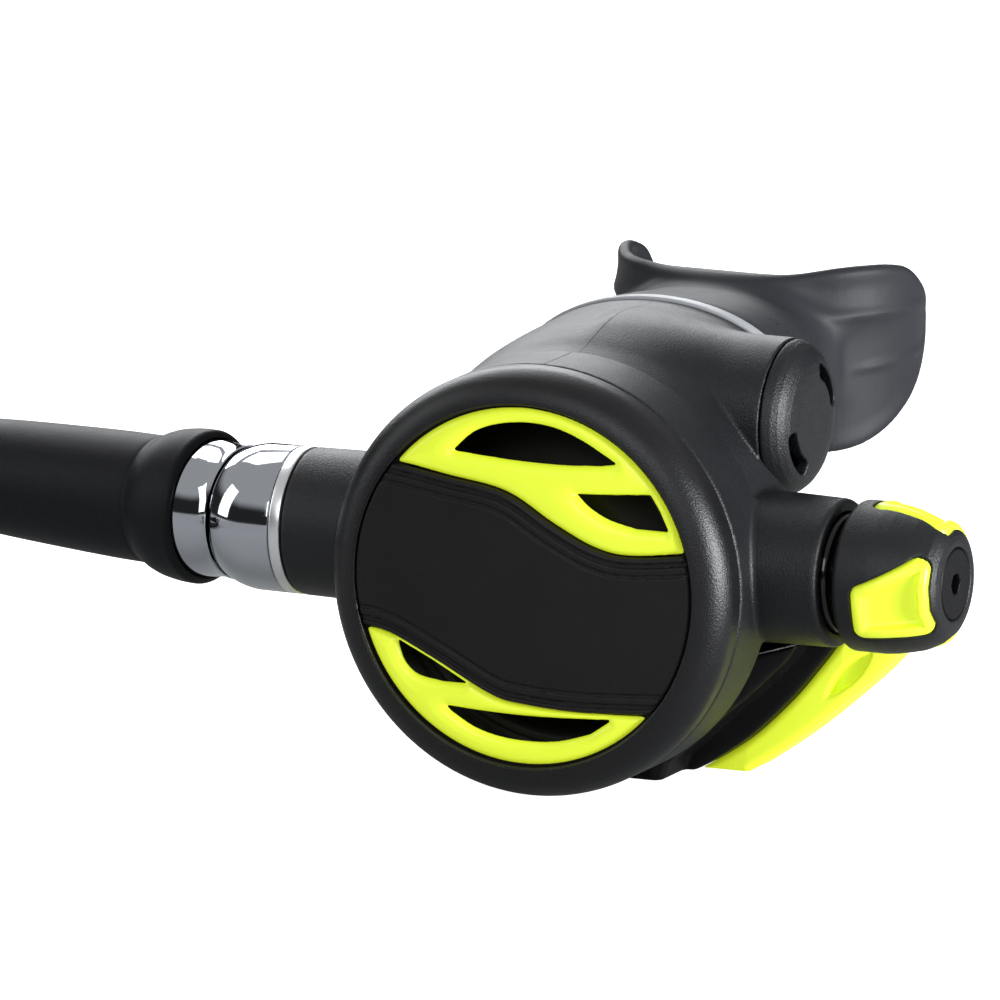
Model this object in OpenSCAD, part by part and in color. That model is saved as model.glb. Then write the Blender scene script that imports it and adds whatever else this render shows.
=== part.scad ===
// Scuba regulator second stage with its low-pressure hose.
// The case axis runs front (-Y) to mouth (+Y); the valve tube runs left (-X) to right (+X).
// Z = 0 is the surface that the regulator rests on.

/* [Case and cover] */
// Outer radius of the case flange and of the retaining ring
case_r = 35; // [34:0.5:37]
// Radius of the front cover
cover_r = 29.4; // [28.8:0.1:29.6]
// How far the front cover can be pressed in to purge
purge_travel = 2.6; // [1.5:0.1:2.6]
// Depth of the cylindrical flange behind the retaining ring
flange_depth = 12; // [11:0.5:13]
// Wall thickness of the case
wall = 2.2; // [1.8:0.1:2.6]

/* [Valve tube] */
// Outer radius of the moulded tube at its ends
arm_r = 12; // [11.5:0.1:12.6]
// Bore radius of the metal valve tube
bore_r = 4.8; // [4.6:0.1:5]
// Height of the valve tube axis above the case axis
tube_z = 2; // [0:0.5:3]
// Distance of the valve tube axis behind the case seam
tube_y = 16.5; // [16:0.5:17.5]
// Left end of the moulded tube
arm_left = -48.6; // [-50:0.1:-46]
// Right end of the moulded tube
arm_right = 45.8; // [45:0.1:48]

/* [Adjustment knob] */
// Radius of the knob at its base
knob_r = 12.2; // [11.5:0.1:12.8]
// Length of the knob
knob_len = 16.8; // [16:0.1:19]
// How far the knob winds in over its turn
knob_feed = 2; // [1:0.1:2]

/* [Side cap] */
// Radius of the side cap of the flow control
cap_r = 12.6; // [12:0.1:12.8]
// How far water pressure can push the flow vane in
vane_travel = 3; // [1:0.5:3]

/* [Hose] */
// Outer diameter of the hose
hose_d = 12; // [11:0.1:12.4]
// Length of the hose protector
protector_len = 76; // [70:1:90]
// How far the hose is swung back from the valve tube axis, in degrees
swing = 11; // [10:0.5:13]

/* [Hidden] */

$fn = 64;
eps = 0.01;
fit = 0.05;          // radial clearance of a shaft in its bore
seam = 0.15;         // visible parting line

// Where the case axis stands in the part's frame: centred on the object without its hose
ball_x = arm_left - 6.5;       // centre of the swivel's ball
lip_s = 11;                    // the protector's lip, from the ball's centre
protector_tip_r = 7.2;
left_reach = ball_x - (lip_s + protector_len) * cos(swing) - protector_tip_r * sin(swing);
right_reach = arm_right + 2.7 + knob_len;
origin_x = -(left_reach + right_reach) / 2;
mouth_y = 99;        // rear edge of the lip shield
cover_bulge = 1.3;   // how far the cover's middle stands proud of its edge
cover_front = -7.7;  // the cover's edge
origin_y = -(mouth_y + cover_front - cover_bulge) / 2;
echo(origin_at = [origin_x, origin_y]);

module place() { translate([origin_x, origin_y, case_r]) children(); }
// A turned piece on the case axis; its profile is [radius, y]
module turn_y() { rotate([-90, 0, 0]) rotate_extrude() children(); }
// A turned piece on an axis along X through [y, z]; its profile is [radius, x]
module turn_x(y, z) { translate([0, y, z]) rotate([0, 90, 0]) rotate_extrude() children(); }
module on_tube() { turn_x(tube_y, tube_z) children(); }
// A flat outline in X and Z, from y0 back to y1
module slab_y(y0, y1) { translate([0, y1, 0]) rotate([90, 0, 0]) linear_extrude(y1 - y0) children(); }
module rod_y(r, y0, y1, x = 0, z = 0) {
    translate([x, y0, z]) rotate([-90, 0, 0]) cylinder(r = r, h = y1 - y0);
}
module rod_x(r, x0, x1, y, z) {
    translate([x0, y, z]) rotate([0, 90, 0]) cylinder(r = r, h = x1 - x0);
}

// Points of a quarter or longer arc
function arc(c, r, a0, a1, n = 8) =
    [for (i = [0:n]) let (a = a0 + (a1 - a0) * i / n) [c[0] + r * cos(a), c[1] + r * sin(a)]];
// A smooth curve through points, with n steps between each two
function cubic(a, b, c, d, t) =
    0.5 * (2 * b + (c - a) * t + (2 * a - 5 * b + 4 * c - d) * t * t + (3 * b - a - 3 * c + d) * t * t * t);
function smooth(p, n = 5) = let (m = len(p)) concat([for (i = [0:m - 2]) for (k = [0:n - 1])
    cubic(p[max(i - 1, 0)], p[i], p[i + 1], p[min(i + 2, m - 1)], k / n)], [p[m - 1]]);
function flip(p) = [for (q = p) [-q[0], q[1]]];
function back_to_front(p) = [for (i = [len(p) - 1:-1:0]) p[i]];
// A closed skin over rings of points that follow each other
module skin(rings) {
    n = len(rings[0]);
    m = len(rings);
    polyhedron(points = [for (r = rings) each r],
        faces = concat([[for (j = [n - 1:-1:0]) j]], [[for (j = [0:n - 1]) (m - 1) * n + j]],
            [for (i = [0:m - 2]) for (j = [0:n - 1]) [i * n + j, i * n + (j + 1) % n, (i + 1) * n + (j + 1) % n]],
            [for (i = [0:m - 2]) for (j = [0:n - 1]) [i * n + j, (i + 1) * n + (j + 1) % n, (i + 1) * n + j]]));
}
// A rounded oval ring at y, with half width a, half height b and middle height zc
function power(v, e) = sign(v) * pow(abs(v), e);
function oval(y, a, b, zc, e = 1, n = 32) =
    [for (j = [0:n - 1]) let (t = 360 * j / n) [a * power(cos(t), e), y, zc + b * power(sin(t), e)]];

// Case shell: [y, half width, half height, middle height], each less the inset
shell = [[flange_depth - 0.5, 34, 34, 0], [16, 33.9, 33.3, 1.6], [20, 33.3, 31.9, 4.1], [25, 32.2, 29, 7.9],
    [30, 30.4, 25.2, 12.1], [35, 28.2, 21.1, 16.4], [40, 25.8, 17, 20.6], [44, 24.2, 14.6, 23.1]];
module shell_loft(inset, y_shift = 0) {
    skin([for (s = shell) oval(s[0] + y_shift, s[1] - inset, s[2] - inset, s[3])]);
}

// Mouth barrel, which the mouthpiece grips
barrel_a = 22.4;
barrel_b = 12.8;
barrel_z = 23.2;
barrel_end = 55;
shelf_y = 8.8;        // step that carries the diaphragm
plate_y = 1.2;        // front of the diaphragm's plate
skirt_r = 33.3;
arm_root_r = arm_r + 0.5;
liner_r = bore_r + 1.5;
vane_y = 31;
vane_z = 23.5;
vane_seam = 29.6;     // where the side cap meets its housing
vane_bore = cap_r - 2.2;
vane_guide = 2.5;
port_tilt = 55;       // the exhaust port leans back from straight down
port_r = 9.5;
port_at = [0, 18, -15];
lever_x = 9;
lever_y = tube_y - liner_r + 1.4;
stem_r = 3.4;         // shaft of the adjusting spindle

module port_frame() { translate(port_at) rotate([180 + port_tilt, 0, 0]) children(); }

module case() color("#2b2c2f") place() {
    difference() {
        union() {
            turn_y() polygon([[0, 0], [case_r - 0.4, 0], [case_r, 0.4], [case_r, flange_depth - 0.6],
                [case_r - 0.6, flange_depth], [0, flange_depth]]);
            shell_loft(0);
            skin([for (y = [43, barrel_end]) oval(y, barrel_a, barrel_b, barrel_z)]);
            on_tube() polygon([[0, arm_left], [arm_r - 0.5, arm_left], [arm_r, arm_left + 0.5],
                [arm_root_r, -20], [arm_root_r, 20], [arm_r, arm_right - 0.8], [arm_r - 0.8, arm_right], [0, arm_right]]);
            turn_x(vane_y, vane_z) polygon([[0, 6], [cap_r + 0.2, 6], [cap_r + 0.2, vane_seam - 0.3],
                [cap_r - 0.1, vane_seam], [0, vane_seam]]);
            port_frame() cylinder(r = port_r + 1.6, h = 14.5);
        }
        // front mouth, threaded for the ring
        turn_y() polygon([[0, -1], [skirt_r + fit, -1], [skirt_r + fit, shelf_y], [29.6, shelf_y],
            [29.6, flange_depth + 1], [0, flange_depth + 1]]);
        // air chamber, open round the valve tube's liner
        difference() {
            union() {
                shell_loft(wall);
                skin([for (y = [flange_depth - 4, flange_depth + 1]) oval(y, 29.6, 29.6, 0)]);
                skin([for (y = [42, barrel_end + 1]) oval(y, barrel_a - wall, barrel_b - wall, barrel_z)]);
            }
            rod_x(liner_r + 1.8, -50, -21, tube_y, tube_z);
            rod_x(liner_r + 1.8, 24, 50, tube_y, tube_z);
            turn_x(vane_y, vane_z) polygon([[0, 12], [4.5, 12], [4.5, 19], [cap_r + 0.2, 20], [cap_r + 0.2, 40], [0, 40]]);
        }
        port_frame() translate([0, 0, -6]) cylinder(r = port_r, h = 30);
        // seats of the valve tube, the packing nut and the flow vane
        rod_x(liner_r + fit, arm_left - 1, 44.4, tube_y, tube_z);
        rod_x(9.8, 42, arm_right + 1, tube_y, tube_z);
        rod_x(vane_bore, 22, vane_seam + 1, vane_y, vane_z);
        rod_x(vane_guide + fit, 5, 23, vane_y, vane_z);
        // open end of the flow vane's stem inside the chamber, and room for the side cap
        rod_x(6, 4, 12, vane_y, vane_z);
        rod_x(cap_r + 0.25, vane_seam, 45, vane_y, vane_z);
    }
    // spokes of the exhaust seat
    port_frame() translate([0, 0, 12.4]) difference() {
        union() {
            for (a = [0:60:120]) rotate(a) translate([-port_r - 0.5, -0.7, 0]) cube([2 * port_r + 1, 1.4, 2]);
            cylinder(r = 3.2, h = 2);
        }
        translate([0, 0, -1]) cylinder(r = 1.6, h = 5);
    }
}

module retaining_ring() color("#303134") place() turn_y() polygon(concat(
    [[cover_r + seam, -6.6], [cover_r + seam, -7.6]],
    arc([case_r - 5.5, -2.4], 5.5, -88, 0, 10),
    [[case_r, -seam - 0.4], [case_r - 0.4, -seam], [skirt_r, -seam], [skirt_r, 6.4], [31.9, 6.4], [31.9, -6.6]]));

module clamp_washer() color("#8a8c90") place() turn_y()
    polygon([[29.8, 6.4], [skirt_r, 6.4], [skirt_r, 7.4], [29.8, 7.4]]);

// Elastomer membrane: rim bead, one rolled fold and a flat middle
module diaphragm() color("#3c3d40") place() turn_y() polygon(concat(
    [[29.7, 7.4], [skirt_r, 7.4], [skirt_r, shelf_y], [29.7, shelf_y]],
    arc([27.4, 6.6], 2.6, 50, 150, 8), [[17, plate_y], [0, plate_y], [0, plate_y - 0.6], [17.4, plate_y - 0.6]],
    arc([27.4, 6.6], 2, 155, 40, 8), [[29.7, 7.7]]));

module diaphragm_plate() color("#9da0a4") place() turn_y()
    polygon([[0, plate_y], [13, plate_y], [13, plate_y + 0.5], [12.4, plate_y + 1], [0, plate_y + 1]]);

// Front cover: black band across the middle, with the lime grilles above and below it
cover_dome = [for (i = [0:7]) let (f = i / 7) [cover_r * f, cover_front - cover_bulge * (1 - f * f)]];
cover_back = cover_front + 1.7;
upper_edge = smooth([[-34, 19.2], [-23, 18.2], [-13.6, 16.9], [-3, 15.2], [5.6, 10.6], [13, 7.3], [20, 6.6], [34, 8.4]]);
lower_edge = smooth([[-34, -9], [-25, -9.1], [-15.4, -13], [-5.4, -17.9], [0.4, -19.1], [11.7, -19.5], [34, -18.2]]);
upper_window_1 = concat(smooth([[-12.2, 21.3], [-9, 24.2], [-5, 25.8], [0, 26.5], [5, 26.1], [10, 24.4], [15.6, 21.4]], 4),
    smooth([[13.4, 21], [6, 20.5], [-2.5, 20.6], [-11.8, 21.2]], 3));
upper_window_2 = concat(smooth([[9.4, 15.9], [14, 16.1], [21.9, 16.6]], 3), smooth([[23.5, 14.2], [24.9, 11.3]], 3),
    smooth([[19.6, 11.3], [15, 12.3], [11.7, 13.9], [9.8, 15.5]], 4));
lower_window_1 = concat(smooth([[-21.8, -11], [-16, -13.6], [-10, -16.7]], 4),
    smooth([[-14, -16.7], [-18.3, -16], [-20.6, -14.2], [-21.7, -11.6]], 3));
lower_window_2 = concat(smooth([[-13.1, -20.9], [-5, -21.2], [3, -21.2], [15, -20.7]], 4),
    smooth([[11.7, -23], [6.4, -24.6], [1.4, -25.1], [-4, -24.8], [-8.6, -23.6], [-12.6, -21.4]], 4));

module cover_slab() {
    intersection() {
        turn_y() polygon(concat(cover_dome, [[cover_r, cover_back], [0, cover_back]]));
        slab_y(cover_front - cover_bulge - 1, cover_back + 1) children();
    }
}
module upper_outline(gap) { polygon(concat([for (p = upper_edge) p + [0, gap]], [[34, 34], [-34, 34]])); }
module lower_outline(gap) { polygon(concat([for (p = back_to_front(lower_edge)) p - [0, gap]], [[-34, -34], [34, -34]])); }

module cover_band() color("#26272a") place() difference() {
    union() {
        cover_slab() difference() {
            square(80, center = true);
            upper_outline(0);
            lower_outline(0);
        }
        // frame behind the grilles, its retaining lip and the boss that bears on the membrane
        turn_y() polygon([[27, cover_back], [cover_r, cover_back], [31.5, -6.5], [31.5, -5.5], [27, -4.6]]);
        slab_y(cover_back, cover_back + 1.3) intersection() {
            circle(r = 28.2);
            difference() {
                square(80, center = true);
                translate([0, 2.2]) upper_outline(0);
                translate([0, -2.2]) lower_outline(0);
            }
        }
        turn_y() polygon([[0, cover_back + 0.5], [5, cover_back + 0.5], [6, plate_y - 2], [5.4, plate_y - 1.2], [0, plate_y - 1.2]]);
        for (a = [0:60:300]) rotate([0, a, 0]) translate([4, cover_back + 0.6, -0.8]) cube([23.5, 1.9, 1.6]);
    }
    // shallow grooves that follow the band's two edges
    intersection() {
        turn_y() polygon(concat([[0, -12], [cover_r - 0.8, -12]], [for (i = [7:-1:0])
            [(cover_r - 0.8) * i / 7, cover_front + 0.4 - cover_bulge * (1 - i * i / 49)]]));
        for (edge = [[for (p = upper_edge) p - [0, 1.6]], [for (p = lower_edge) p + [0, 1.6]]])
            slab_y(-13, cover_back) polygon(concat(edge, [for (p = back_to_front(edge)) p + [0, 0.5]]));
    }
}
module upper_grille() color("#e4fa32") place() cover_slab() difference() {
    upper_outline(seam);
    polygon(upper_window_1);
    polygon(upper_window_2);
}
module lower_grille() color("#e4fa32") place() cover_slab() difference() {
    lower_outline(seam);
    polygon(lower_window_1);
    polygon(lower_window_2);
}

// Valve train, left to right: orifice, seat, poppet, spring, spindle
seat_x = -22;
poppet_end = 14;
spring_end = 24;
module valve_tube() color("#b9bcc0") place() difference() {
    on_tube() polygon([[bore_r, -46], [liner_r, -46], [liner_r, 44], [bore_r, 44]]);
    // slots for the lever's feet, and the air outlet that faces the mouth
    for (s = [-1, 1]) translate([lever_x - 3, lever_y - 2.6, tube_z + s * (3 + 2.6) - 3]) cube([6, 8.4, 6]);
    rod_y(3, tube_y, tube_y + 20, -12, tube_z);
}
module inlet_orifice() color("#d8b25c") place() on_tube() polygon([[2.5, -45], [bore_r - fit, -45],
    [bore_r - fit, -28], [4, -26], [4, -23.5], [2.9, seat_x], [2.5, seat_x]]);
module poppet() color("#d7d8da") place() difference() {
    on_tube() polygon([[0, -20], [3.2, -20], [3.2, -21.8], [4.3, -21.8], [4.3, -18], [bore_r - fit, -17],
        [bore_r - fit, -15.5], [2.4, -14], [2.4, 4], [bore_r - fit, 5], [bore_r - fit, lever_x - 2.2],
        [2.4, lever_x - 2.2], [2.4, lever_x + 1.4], [bore_r - fit, lever_x + 1.4], [bore_r - fit, 12.6], [3, 13],
        [3, poppet_end], [0, poppet_end]]);
    for (a = [0:90:270]) translate([-18.5, tube_y, tube_z]) rotate([a + 45, 0, 0]) translate([0, 3.8, -2]) cube([4, 3, 4]);
}
module poppet_seat() color("#1c1d1f") place() on_tube() polygon([[0, -21.9], [3.2, -21.9], [3.2, -20], [0, -20]]);

// A round wire wound on an axis along X: one unbroken tube
function coil_point(r, x0, x1, turns, s) =
    [x0 + (x1 - x0) * s, r * cos(360 * turns * s), r * sin(360 * turns * s)];
module wound_wire(r, wire, x0, x1, turns, per_turn = 10, sides = 6) {
    n = ceil(turns * per_turn);
    skin([for (i = [0:n]) let (s = i / n, a = 360 * turns * s, c = coil_point(r, x0, x1, turns, s))
        [for (j = [0:sides - 1]) let (b = 360 * j / sides)
            c + wire * (cos(b) * [0, cos(a), sin(a)] + sin(b) * [1, 0, 0])]]);
}
module poppet_spring() color("#c9ccd0") place() translate([0, tube_y, tube_z])
    wound_wire(3.9, 0.45, poppet_end + 0.5, spring_end - 0.5, 5);

// Lever: two legs straddle the valve tube, their feet pull the poppet, the pad bears on the plate
module demand_lever() color("#c9ccd0") place() {
    leg_z = liner_r + 0.4;
    pad_y = plate_y + 1.1;      // the pad's front, just behind the plate
    bar_y = pad_y + 3;
    for (s = [-1, 1]) {
        translate([lever_x - 1, bar_y, tube_z + s * (leg_z + 0.6) - 0.6]) cube([2, lever_y - bar_y + 1, 1.2]);
        translate([lever_x - 1, lever_y - 1, tube_z + s * (leg_z + 4.5) / 2 - (leg_z - 2.1) / 2])
            cube([2, 2, leg_z - 2.1]);
        translate([lever_x - 1, lever_y - 1, tube_z + s * 3.9 - 0.6]) cube([2, 6.2, 1.2]);
    }
    translate([lever_x - 1, bar_y, tube_z - leg_z - 1.2]) cube([2, 1.1, 2 * leg_z + 2.4]);
    translate([0, 0, tube_z - 2]) {
        linear_extrude(4) polygon([[0, pad_y + 0.2], [lever_x, bar_y], [lever_x, bar_y + 1], [0, pad_y + 1.2]]);
        translate([0, pad_y + 0.9, 0]) cylinder(r = 0.9, h = 4);
    }
}

module adjusting_spindle() color("#c2c5c9") place() on_tube() polygon([[0, spring_end], [bore_r - fit, spring_end],
    [bore_r - fit, 29], [bore_r - 1.2, 29], [bore_r - 1.2, 30.8], [bore_r - fit, 30.8], [bore_r - fit, 38],
    [stem_r, 39], [stem_r, knob_x1 - 5], [0, knob_x1 - 5]]);
module spindle_o_ring() color("#1c1d1f") place() on_tube()
    polygon([[bore_r - 1.2, 29.1], [bore_r - fit, 29.1], [bore_r - fit, 30.7], [bore_r - 1.2, 30.7]]);
module packing_nut() color("#17181a") place() on_tube() polygon(concat([[stem_r + fit, 44.1], [9.75, 44.1], [9.75, 45.6]],
    arc([8.9, 46], 0.85, 0, 90, 4), [[stem_r + fit, 46.85]]));

// Knob: a tapering barrel with three lime grips set in its sides and a plug in its end
knob_x0 = arm_right + 2.7;
knob_x1 = knob_x0 + knob_len;
plug_r = 5.8;
grip_angles = [192, 312, 72];  // round the axis from +Y towards +Z
knob_profile = concat([[0, knob_x0], [knob_r - 1, knob_x0]], arc([knob_r - 1, knob_x0 + 1], 1, -90, 0, 4),
    [[knob_r, knob_x0 + 6], [knob_r - 0.6, knob_x0 + 10], [10.6, knob_x1 - 3.4], [9.6, knob_x1 - 1.4],
    [8.4, knob_x1 - 0.4], [6.9, knob_x1], [0, knob_x1]]);
// Each grip leans in with the barrel and widens towards the tip
module at_face(a) {
    translate([knob_x0 + 3.4, tube_y, tube_z]) rotate([a, 0, 0]) translate([0, knob_r - 0.3, 0])
        rotate([0, 0, -16]) rotate([-90, 0, 0]) children();
}
module grip_outline(inset) {
    polygon(concat(arc([1.8, -4.6], 1.8 - inset, 180, 270, 4), arc([11.4, -3.8], 2 - inset, -90, 0, 4),
        [[12.8 - inset, -1.2]], [[12.8 - inset, 2.6]], arc([11.3, 5.4], 2 - inset, 0, 113, 5),
        arc([2, 1.4], 2 - inset, 113, 180, 3)));
}
module adjustment_knob() color("#2a2b2e") place() difference() {
    on_tube() polygon(knob_profile);
    for (a = grip_angles) at_face(a) translate([0, 0, -1.9]) linear_extrude(8) grip_outline(0);
    rod_x(plug_r + 0.1, knob_x1 - 4, knob_x1 + 1, tube_y, tube_z);
    rod_x(stem_r + fit, knob_x0 - 1, knob_x1 - 4.6, tube_y, tube_z);
    rod_x(10.2, knob_x0 - 1, knob_x0 + 0.8, tube_y, tube_z);
}
module knob_grips() color("#e4fa32") place() difference() {
    intersection() {
        for (a = grip_angles) at_face(a) difference() {
            translate([0, 0, -1.85]) linear_extrude(6) grip_outline(0.05);
            // hollow for the finger tip
            translate([0, 0, -1]) linear_extrude(8) grip_outline(1.7);
        }
        on_tube() polygon([for (p = knob_profile) [p[0] > 0 ? p[0] + 0.15 : 0, p[1]]]);
    }
    rod_x(plug_r + 0.35, knob_x1 - 6, knob_x1 + 3, tube_y, tube_z);
}
module knob_end_plug() color("#242528") place() difference() {
    rod_x(plug_r, knob_x1 - 4, knob_x1 - 0.05, tube_y, tube_z);
    translate([knob_x1 - 2.5, tube_y, tube_z]) rotate([0, 90, 0]) cylinder(r = 1.75, h = 5, $fn = 6);
}

// Flow control on the right of the case: a slotted cap over a sprung vane
module vane_cap() color("#2b2c2f") place() difference() {
    turn_x(vane_y, vane_z) polygon(concat([[vane_bore - 1.2, vane_seam - 2], [vane_bore - fit, vane_seam - 2],
        [vane_bore - fit, vane_seam + seam], [cap_r - 0.3, vane_seam + seam], [cap_r, vane_seam + 0.5]],
        arc([cap_r - 3.6, vane_seam + 0.8], 3.6, 0, 80, 8), [[0, vane_seam + 4.6], [0, vane_seam + 2.9],
        [vane_bore - 3, vane_seam + 2.6], [vane_bore - 1.2, vane_seam + 1.2]]));
    translate([vane_seam, vane_y, vane_z]) for (a = [40, 220]) rotate([a, 0, 0]) rotate([0, 90, 0])
        linear_extrude(10) polygon(concat(arc([0, 0], 9.3, 55, 125, 8), arc([0, 0], 6.3, 125, 55, 8)));
}
vane_x = 25.6;
module flow_vane() color("#55575b") place() {
    turn_x(vane_y, vane_z) polygon([[0, 3], [vane_guide, 3], [vane_guide, vane_x], [vane_bore - fit, vane_x],
        [vane_bore - fit, vane_x + 1.6], [0, vane_x + 1.6]]);
    translate([-3, vane_y - 1, vane_z - 6]) cube([6.5, 2, 12]);
}
module vane_spring() color("#c9ccd0") place() translate([0, vane_y, vane_z])
    wound_wire(6, 0.4, 22.41, vane_x - 0.41, 3);

// Exhaust valve: a thin mushroom flap on the seat at the port's mouth
module exhaust_valve() color("#3f4043") place() port_frame() rotate_extrude()
    polygon([[0, 12], [2, 12], [1.55, 12.4], [1.55, 14.5], [port_r + 1.2, 14.5], [port_r + 1.2, 14.9],
        [2.4, 15.5], [2.4, 16.2], [0, 16.2]]);

// Exhaust deflector: a hollow two-winged duct under the case, open at the back of each wing
wing_inner = smooth([[16, -35], [21, -31.9], [25.8, -28.3], [31.5, -22.6], [35.6, -17.6], [39.4, -12.4], [42, -7.6]], 3);
wing_outer = smooth([[24, -35], [29.7, -31], [34.6, -27.2], [40.6, -22], [46.4, -16.6], [49.8, -12], [50.4, -8.6]], 3);
wing_top = [[42, -7.6], [37, -9.4], [30, -12], [20, -12.6], [10, -12], [0, -11.6]];
duct = [[13, -33], [20, -29.6], [27.6, -22.4], [33, -15.8], [36.4, -11.4], [30, -13.8], [20, -14.6], [10, -14], [0, -13.6]];
skirt = [[14.2, -36], [15.6, -31.8], [22.5, -25.3], [28, -20.2], [33, -15], [35, -12], [26, -14.6], [16, -15], [0, -14]];
deflector_y0 = 24;
skirt_y = flange_depth + 3;
deflector_y1 = 40;
duct_wall = 2;
module mirrored(p) { polygon(concat(p, back_to_front(flip(p)))); }
module exhaust_deflector() color("#1f2022") place() difference() {
    union() {
        intersection() {
            slab_y(deflector_y0, deflector_y1) mirrored(concat(wing_inner, wing_top));
            // the wings sweep back
            linear_extrude(90, center = true) polygon([[-60, 31], [-16, deflector_y0], [16, deflector_y0], [60, 31],
                [60, 44], [34, deflector_y1], [-34, deflector_y1], [-60, 44]]);
            translate([0, 0, -case_r]) linear_extrude(50) square([120, 90], center = true);
        }
        // raised middle that reaches forward to the ring
        intersection() {
            slab_y(skirt_y, deflector_y0 + 4) mirrored(skirt);
            linear_extrude(90, center = true) polygon([[-60, 32], [-13, skirt_y], [13, skirt_y], [60, 32], [60, 44], [-60, 44]]);
            translate([0, 0, -case_r]) linear_extrude(50) square([120, 90], center = true);
        }
    }
    intersection() {
        slab_y(deflector_y0 + duct_wall + 1, deflector_y1 - duct_wall) mirrored(duct);
        linear_extrude(90, center = true) polygon([[-60, 34.5], [-16, deflector_y0 + 3.5], [16, deflector_y0 + 3.5],
            [60, 34.5], [60, 44], [-60, 44]]);
    }
    // mouths of the two ducts
    slab_y(deflector_y1 - 3, deflector_y1 + 1) intersection() {
        mirrored(duct);
        for (s = [-1, 1]) translate([s * 32, -20]) square([22, 30], center = true);
    }
    port_frame() translate([0, 0, -20]) cylinder(r = port_r + 1.6 + fit, h = 37.2);
    shell_loft(-0.05);
    turn_y() polygon([[0, 0], [case_r + 0.1, 0], [case_r + 0.1, flange_depth + 1], [0, flange_depth + 1]]);
}
module trim() {
    difference() {
        intersection() {
            slab_y(deflector_y0, deflector_y1) polygon(concat(wing_inner, back_to_front(wing_outer)));
            linear_extrude(90, center = true) polygon([[10, 27], [24, 27.4], [40, 29], [55, 32.5],
                [55, 39], [40, 39.5], [10, 39.5]]);
        }
        // leaf-shaped hollow along the front face
        translate([41, 30, -17.6]) rotate([0, 47, 0]) rotate([90, 0, 0]) translate([0, 0, -0.2])
            linear_extrude(4) polygon(concat(arc([0, -9.2], 10.4, 62, 118, 6), arc([0, 9.2], 10.4, 242, 298, 6)));
    }
}
module right_trim() color("#e4fa32") place() translate([seam, 0, 0]) trim();
module left_trim() color("#e4fa32") place() mirror([1, 0, 0]) translate([seam, 0, 0]) trim();

// Mouthpiece: collar, neck, curved lip shield and two bite tabs round one airway
neck = [[44.2, 23.7, 14.1, 23.2, 1], [49, 23.7, 14.1, 23.2, 1], [56, 23.2, 13.6, 23.4, 1], [62, 21, 12.6, 23.8, 0.95],
    [68, 19, 12, 24, 0.9], [73, 18.4, 11.8, 24, 0.85]];
airway = [[43, 22.45, 12.85, 23.2, 1], [55.1, 22.45, 12.85, 23.2, 1], [55.2, 19.5, 10, 23.4, 1], [64, 15.5, 8.6, 24, 0.9],
    [80, 13.4, 7.4, 24, 0.85]];
// Lip shield, wrapped round to the sides: [right, back, top edge, bottom edge]
shield_rows = [[0, 71, 37.2, 11], [5, 71.3, 37.3, 10.4], [10, 72.4, 37.7, 9.2], [14, 74.3, 38.3, 8.4], [18, 77, 38.9, 8.4],
    [21.3, 80.8, 39, 9.5], [23.6, 85.3, 38.6, 12], [24.7, 90, 37.2, 15.5], [24.4, 94.5, 33.4, 19.5],
    [23.3, mouth_y - 0.36, 28.4, 24.5]];
function shield_row(i) = let (s = shield_rows[abs(i)]) [i < 0 ? -s[0] : s[0], s[1], s[2], s[3]];
function shield_ring(i) = let (m = len(shield_rows) - 1, s = shield_row(i),
        a = shield_row(max(i - 1, -m)), b = shield_row(min(i + 1, m)),
        d = [b[0] - a[0], b[1] - a[1]] / norm([b[0] - a[0], b[1] - a[1]]))
    [for (j = [0:19]) let (t = 360 * j / 20, o = 1.15 * power(sin(t), 0.6))
        [s[0] + d[1] * o, s[1] - d[0] * o, (s[2] + s[3]) / 2 - (s[2] - s[3]) / 2 * cos(t)]];
module shield() { skin([for (i = [1 - len(shield_rows):len(shield_rows) - 1]) shield_ring(i)]); }
module bite_tab() {
    skin([for (s = [[71, 4.6, 5.6, 13.5], [78, 5.6, 3, 15], [88, 5.8, 2.4, 15.6], [92, 5.6, 2.6, 15.8], [94.5, 5.4, 5, 15.8],
        [97, 4.4, 3.4, 15.6]]) [for (p = oval(s[0], s[1], s[2], 24, 0.6, 16)) p + [s[3], 0, 0]]]);
}
module mouthpiece() color("#4a4b4e") place() difference() {
    union() {
        skin([for (s = neck) oval(s[0], s[1], s[2], s[3], s[4])]);
        shield();
        bite_tab();
        mirror([1, 0, 0]) bite_tab();
    }
    skin([for (s = airway) oval(s[0], s[1], s[2], s[3], s[4])]);
}
module mouthpiece_clamp() color("#d5d6d8") place() difference() {
    skin([for (y = [44.3, 46.9]) oval(y, 24.6, 15, 23.2)]);
    skin([for (y = [44, 47]) oval(y, 23.75, 14.15, 23.2)]);
}

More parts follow.
